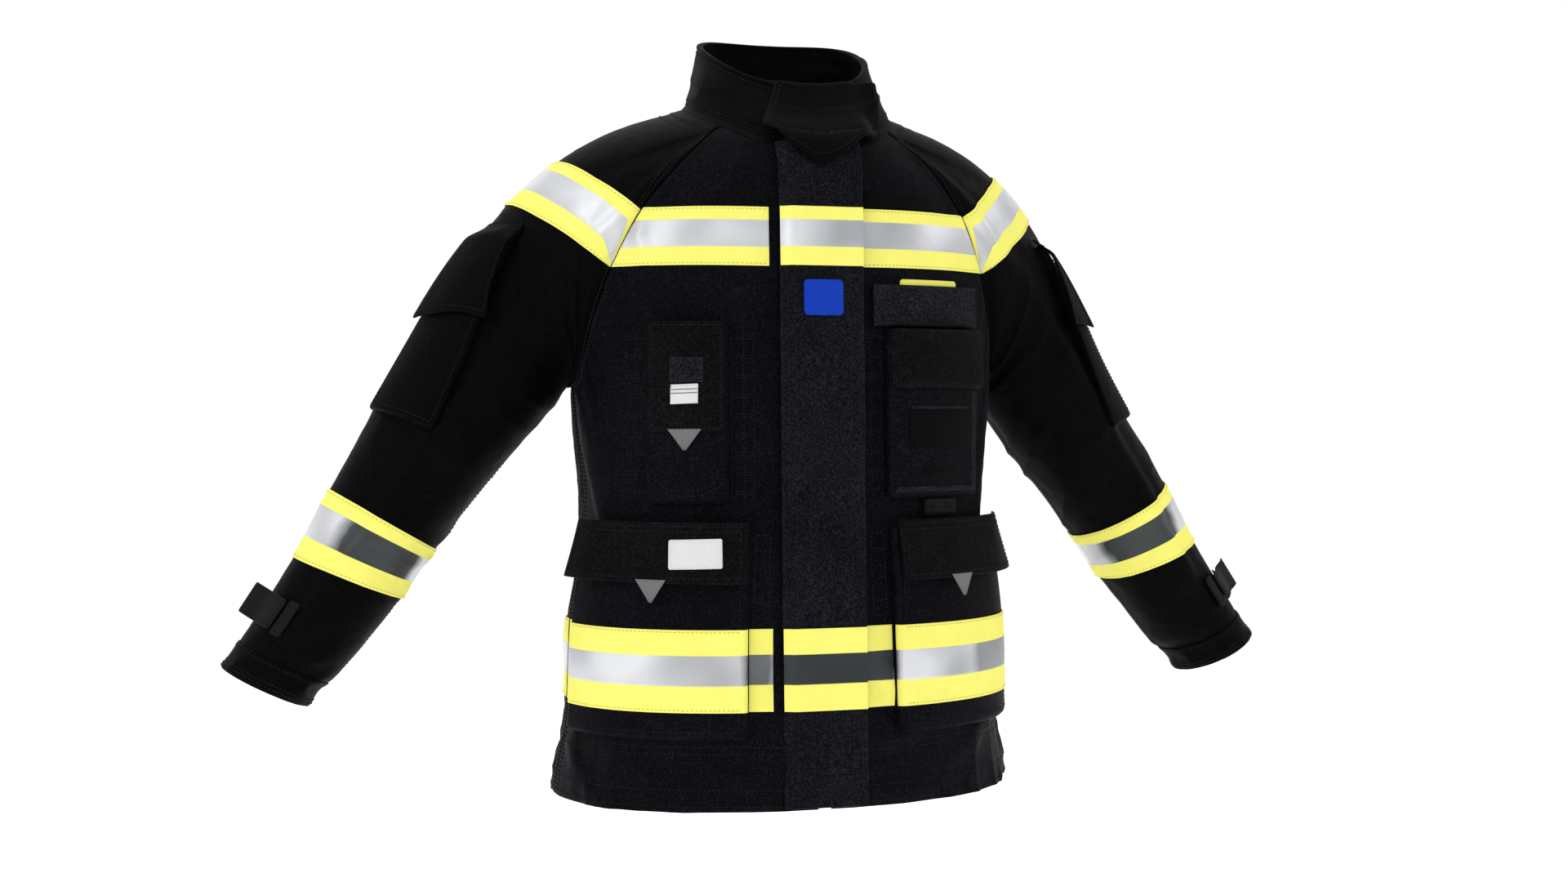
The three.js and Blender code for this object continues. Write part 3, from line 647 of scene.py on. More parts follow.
class Nodes:
    """A short way to write a node tree."""

    def __init__(self, name):
        self.material = bpy.data.materials.new(name)
        self.material.use_nodes = True
        self.tree = self.material.node_tree
        self.shader = self.tree.nodes["Principled BSDF"]

    def add(self, kind, inputs=None, **settings):
        node = self.tree.nodes.new(kind)
        for key, value in settings.items():
            setattr(node, key, value)
        for key, value in (inputs or {}).items():
            self.put(node.inputs[key], value)
        return node

    def put(self, socket, value):
        if isinstance(value, bpy.types.NodeSocket):
            self.tree.links.new(value, socket)
        else:
            socket.default_value = value

    def maths(self, operation, a, b=0.5, c=0.5, clamp=False):
        node = self.add("ShaderNodeMath", {0: a, 1: b, 2: c}, operation=operation)
        node.use_clamp = clamp
        return node.outputs[0]

    def plus(self, a, b):
        return self.maths("ADD", a, b)

    def minus(self, a, b):
        return self.maths("SUBTRACT", a, b)

    def times(self, a, b, clamp=False):
        return self.maths("MULTIPLY", a, b, clamp=clamp)

    def scaled(self, value, by, base):
        """base + value * by"""
        return self.maths("MULTIPLY_ADD", value, by, base)

    def shaded(self, colour, shade):
        """A colour made darker or lighter by a value."""
        grey = self.add("ShaderNodeCombineColor", {0: shade, 1: shade, 2: shade}).outputs[0]
        return self.blend(1.0, (*colour, 1), grey, "MULTIPLY")

    def rim(self):
        return self.add("ShaderNodeAttribute", attribute_name="rim").outputs["Fac"]

    def ramp(self, factor, low, high):
        node = self.add("ShaderNodeMapRange", {"Value": factor, "From Min": low, "From Max": high})
        return node.outputs["Result"]

    def blend(self, factor, a, b, how="MIX"):
        node = self.add("ShaderNodeMix", data_type="RGBA", blend_type=how)
        self.put(node.inputs[0], factor)
        self.put(node.inputs[6], a)
        self.put(node.inputs[7], b)
        return node.outputs[2]

    def coordinates(self, layer):
        uv = self.add("ShaderNodeUVMap", uv_map=layer).outputs[0]
        split = self.add("ShaderNodeSeparateXYZ", {0: uv})
        return uv, split.outputs[0], split.outputs[1]

    def noise(self, vector, scale, detail=3.0, roughness=0.55):
        inputs = {"Vector": vector, "Scale": scale, "Detail": detail, "Roughness": roughness}
        return self.add("ShaderNodeTexNoise", inputs).outputs["Fac"]

    def position(self):
        return self.add("ShaderNodeTexCoord").outputs["Object"]

    def bump(self, height, distance, strength=1.0, normal=None):
        inputs = {"Height": height, "Distance": distance, "Strength": strength}
        if normal is not None:
            inputs["Normal"] = normal
        return self.add("ShaderNodeBump", inputs).outputs[0]

    def finish(self, colour, roughness, normal, **values):
        self.put(self.shader.inputs["Base Color"], colour)
        self.put(self.shader.inputs["Roughness"], roughness)
        self.put(self.shader.inputs["Normal"], normal)
        for key, value in values.items():
            self.put(self.shader.inputs[key.replace("_", " ")], value)
        return self.material


def weave_height(n, pitch):
    """The height of a plain weave with threads pitch metres apart."""
    _, u, v = n.coordinates("weave")
    turn = 2 * math.pi / pitch
    warp, weft = (n.maths("SINE", n.times(way, turn)) for way in (u, v))
    return n.scaled(n.times(warp, weft), 0.5, 0.5)


def cloth(name, colour, roughness=0.56, pitch=0.0011, sheen=0.03):
    """Woven cloth with a broad mottle, dust, a fine grain, and paler worn edges."""
    n = Nodes(name)
    place = n.position()
    weave = weave_height(n, pitch)
    broad = n.noise(place, 9, 4)
    dust = n.noise(place, 55, 5, 0.65)
    speck = n.maths("POWER", n.ramp(n.noise(place, 400, 4, 0.85), 0.36, 0.66), 2.0)
    shade = n.scaled(broad, 1.6, 0.2)
    for layer, by, base in ((dust, 1.2, 0.4), (speck, 3.0, 0.15), (weave, 0.3, 0.85)):
        shade = n.times(shade, n.scaled(layer, by, base))
    wear_and_painted_shade = n.times(n.times(n.rim(), n.ramp(dust, 0.35, 0.7)), 0.3, clamp=True)
    pale = tuple(c * 3 + 0.004 for c in colour)
    base = n.blend(wear_and_painted_shade, n.shaded(colour, shade), (*pale, 1))
    height = n.plus(n.times(weave, 0.6), n.times(n.noise(place, 420, 3), 0.5))
    normal = n.bump(height, 0.00025, 0.7)
    crumple = n.plus(n.noise(place, 60, 4, 0.6), n.times(n.noise(place, 24, 2), 1.4))
    normal = n.bump(crumple, 0.0022, 0.5, normal)
    rough = n.scaled(dust, 0.2, roughness - 0.1)
    return n.finish(
        base, rough, normal, Sheen_Weight=sheen, Sheen_Roughness=0.25, Sheen_Tint=(0.55, 0.6, 0.7, 1),
        Specular_IOR_Level=0.03,
    )


def tape_material(name, low, high, along="x", painted_shade_stretches=()):
    """Fluorescent yellow tape with a silver stripe between two shares of its height.
    The stripe is painted near black over the given stretches, each (from, to, how dark), by X in metres or
    by the share of the tape's length. This is painted shade, where the silver faces away from the light."""
    n = Nodes(name)
    place = n.position()
    _, s, t = n.coordinates("band")
    way = s if along == "length" else n.add("ShaderNodeSeparateXYZ", {0: place}).outputs[0]
    soft = 0.02 if along == "length" else 0.006
    way = n.plus(way, n.scaled(n.noise(place, 18, 2), 4 * soft, -2 * soft))

    def between(value, start, end, blur):
        """1 between two values and 0 outside them."""
        return n.ramp(value, start - blur, start + blur), n.ramp(value, end - blur, end + blur)

    # Painted shade: how dark the silver is painted over each stretch.
    wear_and_painted_shade = 0.0
    for start, end, depth in painted_shade_stretches:
        stretch = n.minus(*between(way, start, end, soft))
        wear_and_painted_shade = n.maths("MAXIMUM", wear_and_painted_shade, n.times(stretch, depth))
    above, beyond = between(t, low, high, 0.004)
    inside = n.times(above, n.minus(1, beyond))
    weave = weave_height(n, 0.0009)
    dust = n.noise(place, 40, 4, 0.6)
    speck = n.noise(place, 900, 2)
    yellow = n.blend(n.ramp(dust, 0.3, 0.75), (0.84, 0.81, 0.165, 1), (0.79, 0.76, 0.15, 1))
    yellow = n.blend(n.times(weave, 0.08), yellow, (0.6, 0.55, 0.08, 1))
    # The silver's broad mottle from light to dark grey is painted reflection.
    silver = n.blend(n.ramp(n.noise(place, 11, 1), 0.4, 0.7), (0.66, 0.67, 0.69, 1), (0.36, 0.37, 0.39, 1))
    silver = n.blend(n.times(speck, 0.1), silver, (0.5, 0.51, 0.54, 1))
    # The silver is painted near black over the stretches of painted shade.
    silver = n.blend(wear_and_painted_shade, silver, (0.02, 0.024, 0.025, 1))
    base = n.blend(inside, yellow, silver)
    # The stripe stands a little proud, with a groove along each of its edges.
    lines = [n.minus(1, n.ramp(n.maths("ABSOLUTE", n.minus(t, share)), 0.0, 0.02)) for share in (low, high)]
    height = n.plus(n.times(weave, n.minus(0.35, n.times(inside, 0.25))), inside)
    height = n.minus(height, n.times(n.plus(*lines), 0.8))
    normal = n.bump(height, 0.0003, 0.7)
    normal = n.bump(n.noise(place, 30, 2), 0.0015, 0.2, normal)
    rough = n.plus(n.times(inside, -0.3), n.scaled(dust, 0.1, 0.66))
    return n.finish(base, rough, normal, Metallic=n.times(inside, 0.4), Specular_IOR_Level=0.15)


def plain_fabric(name, colour, roughness=0.8, pitch=0.0012, fuzz=0.0):
    """Webbing, labels and hook-and-loop."""
    n = Nodes(name)
    weave = weave_height(n, pitch)
    speck = n.noise(n.position(), 1600 if fuzz else 700, 3, 0.7)
    base = n.shaded(colour, n.scaled(n.plus(weave, speck), 0.3, 0.7))
    base = n.blend(n.times(n.rim(), 0.25), base, tuple(c * 0.5 for c in colour) + (1,))
    normal = n.bump(n.plus(weave, n.times(speck, 0.6 + 2 * fuzz)), 0.0003, 0.8)
    specular = 0.08 - 0.06 * fuzz
    return n.finish(base, roughness, normal, Sheen_Weight=0.03, Specular_IOR_Level=specular)


def moulded(name, colour, roughness=0.45, metallic=0.0):
    n = Nodes(name)
    place = n.position()
    wear = n.noise(place, 120, 4, 0.6)
    polished = tuple(min(c * 1.35 + 0.01, 1) for c in colour)
    base = n.blend(n.ramp(wear, 0.4, 0.75), (*colour, 1), (*polished, 1))
    rough = n.scaled(wear, 0.25, roughness - 0.1)
    return n.finish(base, rough, n.bump(n.noise(place, 700, 3), 0.0001, 0.5), Metallic=metallic)


def finish(material):
    """Returns the material as it is."""
    return material


SHELL_CLOTH = finish(cloth("shell cloth", (0.0026, 0.0028, 0.0042)))
# The sleeves' cloth is a darker copy of the shell cloth: painted shade.
SLEEVE_CLOTH = finish(cloth("sleeve cloth", (0.0009, 0.0009, 0.001)))
FLAP_CLOTH = finish(cloth("flap cloth", (0.0056, 0.006, 0.0084)))
STRAP_CLOTH = finish(cloth("chest strap cloth", (0.0085, 0.0092, 0.0112)))
POCKET_FLAP_CLOTH = finish(cloth("pocket flap cloth", (0.0029, 0.003, 0.0036)))
# The collar's cloth is a darker copy of the shell cloth: painted shade.
COLLAR_CLOTH = finish(cloth("collar cloth", (0.0007, 0.0007, 0.0011), 0.6, 0.0009))
THREAD = finish(plain_fabric("thread", (0.009, 0.0095, 0.012), 0.7, 0.0006))
YELLOW_THREAD = finish(plain_fabric("yellow thread", (0.55, 0.52, 0.12), 0.6, 0.0006))
YELLOW_STRIP = finish(plain_fabric("yellow strip", (0.8, 0.77, 0.14), 0.65, 0.0009))
CHEST_TAPE_CLOTH = finish(tape_material("chest tape", 0.32, 0.775))
# Stretches of the hem tape's silver that are painted dark: painted shade.
HEM_PAINTED_SHADE = ((-0.09, -0.056, 0.8), (-0.056, 0.085, 0.97), (0.19, 0.3, 0.6))
BACK_HEM_TAPE_CLOTH = finish(tape_material("back hem tape", 0.325, 0.69))
HEM_TAPE_CLOTH = finish(tape_material("hem tape", 0.325, 0.69, painted_shade_stretches=HEM_PAINTED_SHADE))
# Stretches of the forearm tapes' silver that are painted dark: painted shade where they face away from the
# light.
FOREARM_PAINTED_SHADE = ((0.66, 0.9, 0.95), (0.1, 0.3, 0.95))
FOREARM_TAPE_CLOTH = finish(
    tape_material("forearm tape", 0.32, 0.775, "length", FOREARM_PAINTED_SHADE),
)
LINING_CLOTH = finish(
    cloth("quilted lining", (0.03, 0.027, 0.019), pitch=0.0015, sheen=0.2),
)
BARRIER_CLOTH = finish(cloth("moisture barrier", (0.02, 0.021, 0.024), roughness=0.6))
KNIT_CLOTH = finish(plain_fabric("knit", (0.01, 0.01, 0.013), 0.9, 0.0024))
WEBBING = finish(plain_fabric("black webbing", (0.006, 0.006, 0.007), 0.75, 0.0018))
GREY_WEBBING = finish(plain_fabric("grey webbing", (0.15, 0.15, 0.155), 0.75, 0.0014))
WHITE_CLOTH = finish(plain_fabric("white label", (0.7, 0.7, 0.71), 0.75, 0.0008))
HOOK_AND_LOOP = finish(
    plain_fabric("hook and loop", (0.0018, 0.0018, 0.002), 1.0, 0.0016, fuzz=1.0),
)
BLUE_PATCH = finish(plain_fabric("blue badge", (0.003, 0.04, 0.43), 0.6, 0.0007))
BRASS = finish(moulded("brass", (0.42, 0.28, 0.1), 0.35, 1.0))


# ---- Pieces ----

SIDES = (("left", False), ("right", True))
SHELL_OFF, SHELL_THICK, SHELL_EDGE = -3, 3, 1.4
COLLAR_PLY = 2.7
TAPE_OFF, TAPE_THICK = 0.6, 1.3
ON_TAPE = 1.9  # where stitches lie on a tape
# the smallest share of its flat rectangle that a sheet may be declared with
LEAST_SHARE = 0.31  # the smallest share of its flat rectangle that a sheet's worked-out area may take


def show(name, made, material, body="coat", nodes=(), mirror=False):
    mesh = mesh_from(name, *made, mirror=mirror)
    piece = bpy.data.objects.new(name, mesh)
    bpy.context.scene.collection.objects.link(piece)
    mesh.materials.append(material)
    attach(piece, body)
    if nodes:
        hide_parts(*nodes)
    return piece


def as_sheet(piece, surface, place):
    """Works out the flat area, width and length of a piece's share of the smooth surface, and keeps none of
    them.
    """
    S, T = np.meshgrid(np.linspace(0, 1, 40), np.linspace(0, 1, 40), indexing="ij")
    grid = surface.at(*place(S, T), bare=True) * MM
    across = np.linalg.norm(np.diff(grid, axis=0), axis=-1)
    down = np.linalg.norm(np.diff(grid, axis=1), axis=-1)
    area = float((0.5 * (across[:, 1:] + across[:, :-1]) * 0.5 * (down[1:] + down[:-1])).sum())
    width, length = float(across.sum(0).max()), float(down.sum(1).max())
    area = min(max(area, LEAST_SHARE * width * length), width * length)


def lay(name, surface, place, size, off, thick, density, material, body="coat", nodes=(), mirror=False,
        **shape):
    """Shows a slab that lies on a surface."""
    return show(name, slab(surface, place, size, off, thick, density, **shape), material, body, nodes, mirror)


def lay_sheet(name, surface, place, *settings, **shape):
    as_sheet(lay(name, surface, place, *settings, **shape), surface, place)


def tape(name, surface, place, size, density, material, body="coat", mirror=False, off=TAPE_OFF, in_cad=True,
         **shape):
    """Reflective tape. in_cad says if the CAD model has a node for it."""
    nodes = [name] if in_cad else ()
    lay(name + "_cloth", surface, place, size, off, TAPE_THICK, density, material, body, nodes, mirror,
        **shape)


def thread(name, surface, paths, material=THREAD, body="coat", mirror=False, **shape):
    show(name, joined([stitches(surface, path, **shape) for path in paths]), material, body, mirror=mirror)


def span(u0, u1, v0, v1):
    """A piece between two u and two v lines of a surface."""
    return lambda s, t: (mix(u0, u1, s), mix(v0, v1, t))


def panel(x0, x1, z0, z1, slant=0.0):
    """A piece on a front panel between two distances from the centre and two heights."""
    return lambda s, t: front_uv(mix(x0, x1, s), mix(z0, z1, t) + slant * (s - 0.5))


def patch(x0, x1, z0, z1, corner=0, slant=0.0, cut=0.0):
    """The place and the size of a piece on a front panel. corner is the radius of its corners."""
    place, size = panel(x0, x1, z0, z1, slant), (x1 - x0, z1 - z0)
    return (rounded(place, size, corner, cut) if corner else place), size


def whole(s, t):
    """The place function of paths given in surface coordinates."""
    return s, t


def run(place, a, b, off=0.1, count=60):
    """A path across a piece from (s, t) = a to b, off the cloth by a distance or a function of (s, t)."""
    s, t = (np.linspace(a[k], b[k], count) for k in (0, 1))
    return np.stack(np.broadcast_arrays(*place(s, t), off(s, t) if callable(off) else off), -1)


def across(place, a, b, levels, off=0.1, count=60):
    """Paths from s = a to b at each level t."""
    return [run(place, (a, t), (b, t), off, count) for t in levels]


def down(place, a, b, columns, off=0.1, count=60):
    """Paths from t = a to b in each column s."""
    return [run(place, (s, a), (s, b), off, count) for s in columns]


def seams(place, inset, size, off=0.1, sides="lrtb"):
    """Paths that follow the sides of a piece, inset from its edges."""
    a, b = inset / size[0], inset / size[1]
    ends = {
        "l": ((a, b), (a, 1 - b)), "r": ((1 - a, b), (1 - a, 1 - b)),
        "b": ((a, b), (1 - a, b)), "t": ((a, 1 - b), (1 - a, 1 - b)),
    }
    return [run(place, *ends[side], off) for side in sides]


def outer_shell():
    shell = {"radius": SHELL_EDGE}
    for side, mirror in SIDES:
        surface = fronts[side]
        lay_sheet("front_" + side, surface, span(0, 1, 0, TOP_ROW), (400, 745), SHELL_OFF, SHELL_THICK, 3.4,
                  SHELL_CLOTH, nodes=["front_panel_" + side], mirror=mirror, **shell)
        rows = across(whole, 0.01, 0.995, (6, 24, 62, 70)) + down(whole, 4, 735, (0.02,))
        rows += down(whole, 4, 738, (0.982, 0.964))
        thread("front_stitching_" + side, surface, rows, mirror=mirror)
    lay_sheet("back", back, span(-1, 1, 0, TOP_ROW), (800, 790), SHELL_OFF, SHELL_THICK, 3.6, SHELL_CLOTH,
              nodes=["back_panel"], **shell)
    rows = across(whole, -0.995, 0.995, (6, 24, 660, 668), count=120)
    rows += down(whole, 4, 736, (-0.99, -0.98, 0.98, 0.99))
    thread("back_stitching", back, rows)
    # A strip of facing closes each side seam from the inside.
    ends = (math.pi / 2 - 0.05, math.pi / 2 + 0.05)
    strip = Surface(body_point, ends, (0, ARMPIT_Z), (9, 120))
    rows = strip.v[None, :]
    strip.height = strip.height + 1.6 * HEM_FLARE * below_tape(rows) ** 1.4 - drawn_in(rows)
    for side, mirror in SIDES:
        lay("side_facing_" + side, strip, span(*ends, 1, ARMPIT_Z - 4), (24, 454), -4.6, 1.5, 4.0,
            SHELL_CLOTH, mirror=mirror)


def sleeve_shells():
    for side, mirror in SIDES:
        surface = sleeves[side]
        lay_sheet("sleeve_shell_" + side, surface, span(0, 1, 0.002, 1), (470, 780), SHELL_OFF, SHELL_THICK,
                  3.6, SLEEVE_CLOTH, nodes=["sleeve_" + side], mirror=mirror, radius=SHELL_EDGE, ring=True)
        rows = across(whole, 0, 1, (0.014, 0.027), count=240)
        rows += down(whole, 0.03, 0.95, (0.497, 0.512), count=160)
        thread("sleeve_stitching_" + side, surface, rows, mirror=mirror)
        lay("cuff_band_" + side, surface, span(0, 1, 0.955, 0.998), (330, 24), 0.3, 1.4, 2.8, SLEEVE_CLOTH,
            mirror=mirror, ring=True)
        rows = across(whole, 0, 1, (0.961, 0.986, 0.992), 1.8, 160)
        thread("cuff_stitching_" + side, surface, rows, mirror=mirror)


def build_collar():
    turn = (0.012, 2 * math.pi - 0.012)
    ply = span(*turn, -COLLAR_LAP, 1)
    lay_sheet("collar_cloth", collar, ply, (640, 96), -COLLAR_PLY, COLLAR_PLY, 2.8, COLLAR_CLOTH,
              nodes=["collar_outer"], radius=1.2)
    lay_sheet("collar_inside", collar, ply, (640, 94), -6, COLLAR_PLY, 3.0, COLLAR_CLOTH,
              nodes=["collar_lining"], radius=1.2)
    lay("collar_roll", collar, span(*turn, 0.93, 1.01), (630, 8), -6.6, 7.8, 2.8, COLLAR_CLOTH, radius=3.9)
    rows = across(whole, turn[0] + 0.03, turn[1] - 0.03, (0.035, 0.1, 0.88), count=160)
    thread("collar_stitching", collar, rows)

    # The tab's free end is lower than the collar's top edge and stands a little proud.
    # Its lower edge dips over the top of the storm flap.
    size = (130, 92)
    lower_edge = track([
        (-0.32, 0.0), (-0.22, -0.06), (-0.1, -0.24), (0.0, -0.33), (0.12, -0.24), (0.24, -0.11),
        (0.76, -0.12),
    ])

    def tab_shape(s, t):
        turn = mix(-0.32, mix(0.5, 0.82, t), s)
        return turn, mix(lower_edge(turn), 1 - 0.24 * smooth(s, 0.6, 1), t)

    def off(s, t):
        turn, v = tab_shape(s, t)
        over_flap = smooth(-np.abs(turn), -0.46, -0.27) * smooth(-v, -0.6, 0.0)
        return 3.8 + 12.2 * over_flap + (1 + 6 * t) * smooth(s, 0.78, 1)

    tab = rounded(tab_shape, size, 8)
    lay_sheet("throat_tab_cloth", collar, tab, size, off, 3.8, 2.5, COLLAR_CLOTH, "throat_tab",
              ["throat_tab"])
    top = lambda s, t: off(s, t) + 3.9
    rows = seams(tab, 5, size, top, "tb") + seams(tab, 7, size, top, "lr") + seams(tab, 30, size, top, "r")
    thread("throat_tab_stitching", collar, rows, body="throat_tab")


def storm_off(s, t):
    """The sewn edge lies down on the coat and the free edge stands a little proud."""
    return 8 - 5 * (1 - smooth(s, 0.02, 0.14)) + 1.6 * smooth(s, 0.8, 1)


def build_storm_flap():
    body = "storm_flap"
    size = (2 * STORM_HALF_WIDTH, STORM_TOP - STORM_Z[0])
    cut = span(-STORM_HALF_WIDTH, STORM_HALF_WIDTH, STORM_Z[0], STORM_TOP)
    lay_sheet("storm_flap_cloth", storm, cut, size, storm_off, 4, 3.2, FLAP_CLOTH, body, [body], radius=1.9)
    top = lambda s, t: storm_off(s, t) + 4.1
    thread("storm_flap_stitching", storm, down(cut, 0.006, 0.994, (0.087, 0.163, 0.826, 0.935), top, 120),
           body=body)
    inner = STORM_HALF_WIDTH - 0.5
    for name, (z0, z1), material in (
        ("chest_tape_flap", CHEST_TAPE, CHEST_TAPE_CLOTH), ("hem_tape_flap", HEM_TAPE, HEM_TAPE_CLOTH),
    ):
        tape(name, storm, span(-inner, inner, z0, z1), (91, z1 - z0), 2.5, material, body, off=top)
    badge = rounded(span(-22, 22, 535, 574), (44, 39), 5)
    lay("badge", storm, badge, (44, 39), 12.3, 2.4, 1.6, BLUE_PATCH, body, ["badge_patch"], radius=1.4)


def build_zip():
    """Two rows of separate teeth on two woven tapes, and a slider with its bridge and pull."""
    low, high, depth = 10.0, 650.0, 3.0
    tilt = math.atan2(front_depth(low) - front_depth(high), high - low)
    start = np.array([0, -front_depth(low), low])
    rise = np.array([0, math.sin(tilt), math.cos(tilt)])
    out = np.array([0, -math.cos(tilt), math.sin(tilt)])
    sideways = np.array([1.0, 0, 0])

    def block(centre, half, chamfer):
        """A chamfered block with its half sizes along sideways, out and rise."""
        points, faces = [], []
        for k, inset in ((-1, chamfer), (-0.6, 0), (0.6, 0), (1, chamfer)):
            for i, j in ((-1, -1), (1, -1), (1, 1), (-1, 1)):
                corner = sideways * i * (half[0] - inset) + out * j * (half[1] - inset)
                points.append(centre + corner + rise * k * half[2])
        for level in range(3):
            for m in range(4):
                n = (m + 1) % 4
                faces.append([level * 4 + m, level * 4 + n, level * 4 + 4 + n, level * 4 + 4 + m])
        faces += [[3, 2, 1, 0], [12, 13, 14, 15]]
        points = np.array(points)
        flat = points[:, [0, 2]] * MM
        return points, faces, flat, flat, np.zeros(16)

    length, pitch, strips = high - low, 3.0, 64
    lay("zip_facing", storm, span(-20, 20, 4, 704), (40, 700), -8.6, 1.4, 5.0, SHELL_CLOTH)
    for side, sign in (("left", 1), ("right", -1)):
        first = 2 + (pitch / 2 if sign > 0 else 0)
        row = start - out * depth + sideways * sign * 1.5
        teeth = [block(row + rise * p, (1.5, 1.4, 0.9), 0.35) for p in np.arange(first, length - 2, pitch)]
        show("zip_row_" + side, joined(teeth), BRASS, nodes=["zip_teeth_" + side])
        middle = start - out * depth + sideways * sign * 4.7
        places = length * (np.arange(strips) + 0.5) / strips
        strip = [block(middle + rise * p, (1.3, 0.5, length / strips / 2), 0.1) for p in places]
        show("zip_cloth_" + side, joined(strip), WEBBING, nodes=["zip_tape_" + side])
    centre = start + rise * (length - 12) - out * depth
    # The slider's two plates, the post between them, the bridge's two feet and the bridge.
    parts = [
        block(centre + out * away + rise * up, half, chamfer)
        for away, up, half, chamfer in (
            (2.75, 0, (5.5, 0.75, 7), 0.5), (-2.75, 0, (5.5, 0.75, 7), 0.5),
            (0, 5.5, (0.35, 2.9, 1.5), 0.1),
            (4.0, 3.2, (1.2, 0.7, 1.2), 0.2), (4.0, -3.2, (1.2, 0.7, 1.2), 0.2),
            (4.5, 0, (1.2, 0.35, 3.4), 0.15),
        )
    ]
    show("zip_slider_body", joined(parts), BRASS, "zip_slider", ["zip_slider"])
    pull = [block(centre + out * 4.7 - rise * (2 + 4 * k), (3 - 0.12 * k, 0.75, 2.05), 0.2) for k in range(6)]
    show("zip_pull_tab", joined(pull), GREY_WEBBING, "zip_pull", ["zip_pull"])


# ---- Reflective tape ----

def body_tapes():
    low, high = ((z - WAIST_POCKET_Z[0]) / WAIST_POCKET_SIZE[1] for z in HEM_TAPE)
    on_pocket = lambda s, t: pocket_face(s, mix(low, high, t))
    on_its_tape = lambda s, t: on_pocket(s, t) + TAPE_THICK
    for side, mirror in SIDES:
        surface = fronts[side]
        inner = STORM_HALF_WIDTH + 10 if mirror else FRONT_GAP + 1

        def chest(s, t):
            z = mix(*CHEST_TAPE, t)
            return mix(front_uv(inner, z)[0], 0.992, s), z + 3 * s * (1 - s)

        tape("chest_tape_" + side, surface, chest, (200, 64), 2.5, CHEST_TAPE_CLOTH, mirror=mirror)
        rows = across(chest, 0.01, 0.99, (0.04, 0.96), ON_TAPE)
        thread("chest_tape_stitching_" + side, surface, rows, YELLOW_THREAD, mirror=mirror)
        hem = {"material": HEM_TAPE_CLOTH, "mirror": mirror}
        front = span(front_uv(inner, 150.0)[0], POCKET_U[0] - 0.003, *HEM_TAPE)
        tape("hem_tape_front_" + side, surface, front, (40, 89), 2.5, **hem)
        beyond = span(POCKET_U[1] + 0.003, 0.992, *HEM_TAPE)
        tape("hem_tape_side_" + side, surface, beyond, (40, 89), 2.5, in_cad=False, **hem)
        pocket = span(*POCKET_U, *HEM_TAPE)
        tape("hem_tape_pocket_" + side, pocket_fronts[side], pocket, (250, 89), 3.0, off=on_pocket, **hem)
        rows = across(pocket, 0.03, 0.97, (0.03, 0.97), on_its_tape)
        thread("hem_tape_stitching_" + side, pocket_fronts[side], rows, YELLOW_THREAD, mirror=mirror)
    for name, (z0, z1), reach, material in (
        ("chest_tape_back", CHEST_TAPE, 0.985, CHEST_TAPE_CLOTH),
        ("hem_tape_back", HEM_TAPE, 0.99, BACK_HEM_TAPE_CLOTH),
    ):
        tape(name, back, span(-reach, reach, z0, z1), (760, z1 - z0), 3.0, material)
        rows = across(whole, -reach, reach, (z0 + 2.5, z1 - 2.5), ON_TAPE, 120)
        thread(name + "_stitching", back, rows, YELLOW_THREAD)


def band_rows(surface, ends, turns):
    """For each turn of a sleeve, how far down it crosses the slanted line through two (x, z) points."""
    (x0, z0), (x1, z1) = ends
    v = np.linspace(0, 1, 500)
    p = surface.at(turns[:, None], v[None, :], bare=True)
    side = (p[..., 0] - x0) * (z1 - z0) - (p[..., 2] - z0) * (x1 - x0)
    first = np.argmax(side > 0, axis=1)
    last = np.maximum(first - 1, 0)
    rows = np.arange(len(turns))
    a, b = side[rows, last], side[rows, first]
    share = np.where(first > 0, -a / np.where(np.abs(b - a) < 1e-9, 1, b - a), 0)
    return np.where(first > 0, v[last] + share * (v[first] - v[last]), 0.0)


def slanted_tape(surface, top_line, low_line):
    """The place function of a tape round a sleeve between two slanted lines, cut off at the raglan seam."""
    turns = np.linspace(-0.5, 0.5, 361)
    top, low = (band_rows(surface, line, np.mod(turns, 1)) for line in (top_line, low_line))
    shown = low > 0.004
    closed = bool(shown.all())
    start, end = (-0.5, 0.5) if closed else (turns[shown][0], turns[shown][-1])

    def unwrapped(s, t):
        turn = mix(start, end, s)
        return turn, np.maximum(mix(np.interp(turn, turns, low), np.interp(turn, turns, top), t), 0.003)

    def place(s, t):
        turn, v = unwrapped(s, t)
        return np.mod(turn, 1), v

    return place, closed, unwrapped


def sleeve_tapes():
    lines = {
        "shoulder_tape": (((186, 651), (272, 722)), ((216, 589), (315, 663))),
        "forearm_tape": (((398, 279), (513, 346)), ((439, 225), (551, 270))),
    }
    for side, mirror in SIDES:
        surface = sleeves[side]
        for name, ends in lines.items():
            place, closed, unwrapped = slanted_tape(surface, *ends)
            material = FOREARM_TAPE_CLOTH if closed else CHEST_TAPE_CLOTH
            tape(name + "_" + side, surface, place, (420, 76), 2.6, material, mirror=mirror, ring=closed)
            rows = across(unwrapped, 0.01, 0.99, (0.04, 0.96), ON_TAPE, 200)
            thread(name + "_stitching_" + side, surface, rows, YELLOW_THREAD, mirror=mirror)


# ---- Waist pockets ----

POCKET_BACK = -2.5  # a pocket's hidden back edge, sunk into the shell so that no wrinkle shows a gap
POCKET_THICK = 13.5
POCKET_EDGE = 6
POCKET_TOP = POCKET_BACK + POCKET_THICK
WAIST_POCKET_SIZE = (235, WAIST_POCKET_Z[1] - WAIST_POCKET_Z[0])
FLAP_BACK, FLAP_FACE = 13.8, 17.0  # how far the two faces of a waist flap stand off the coat at its top


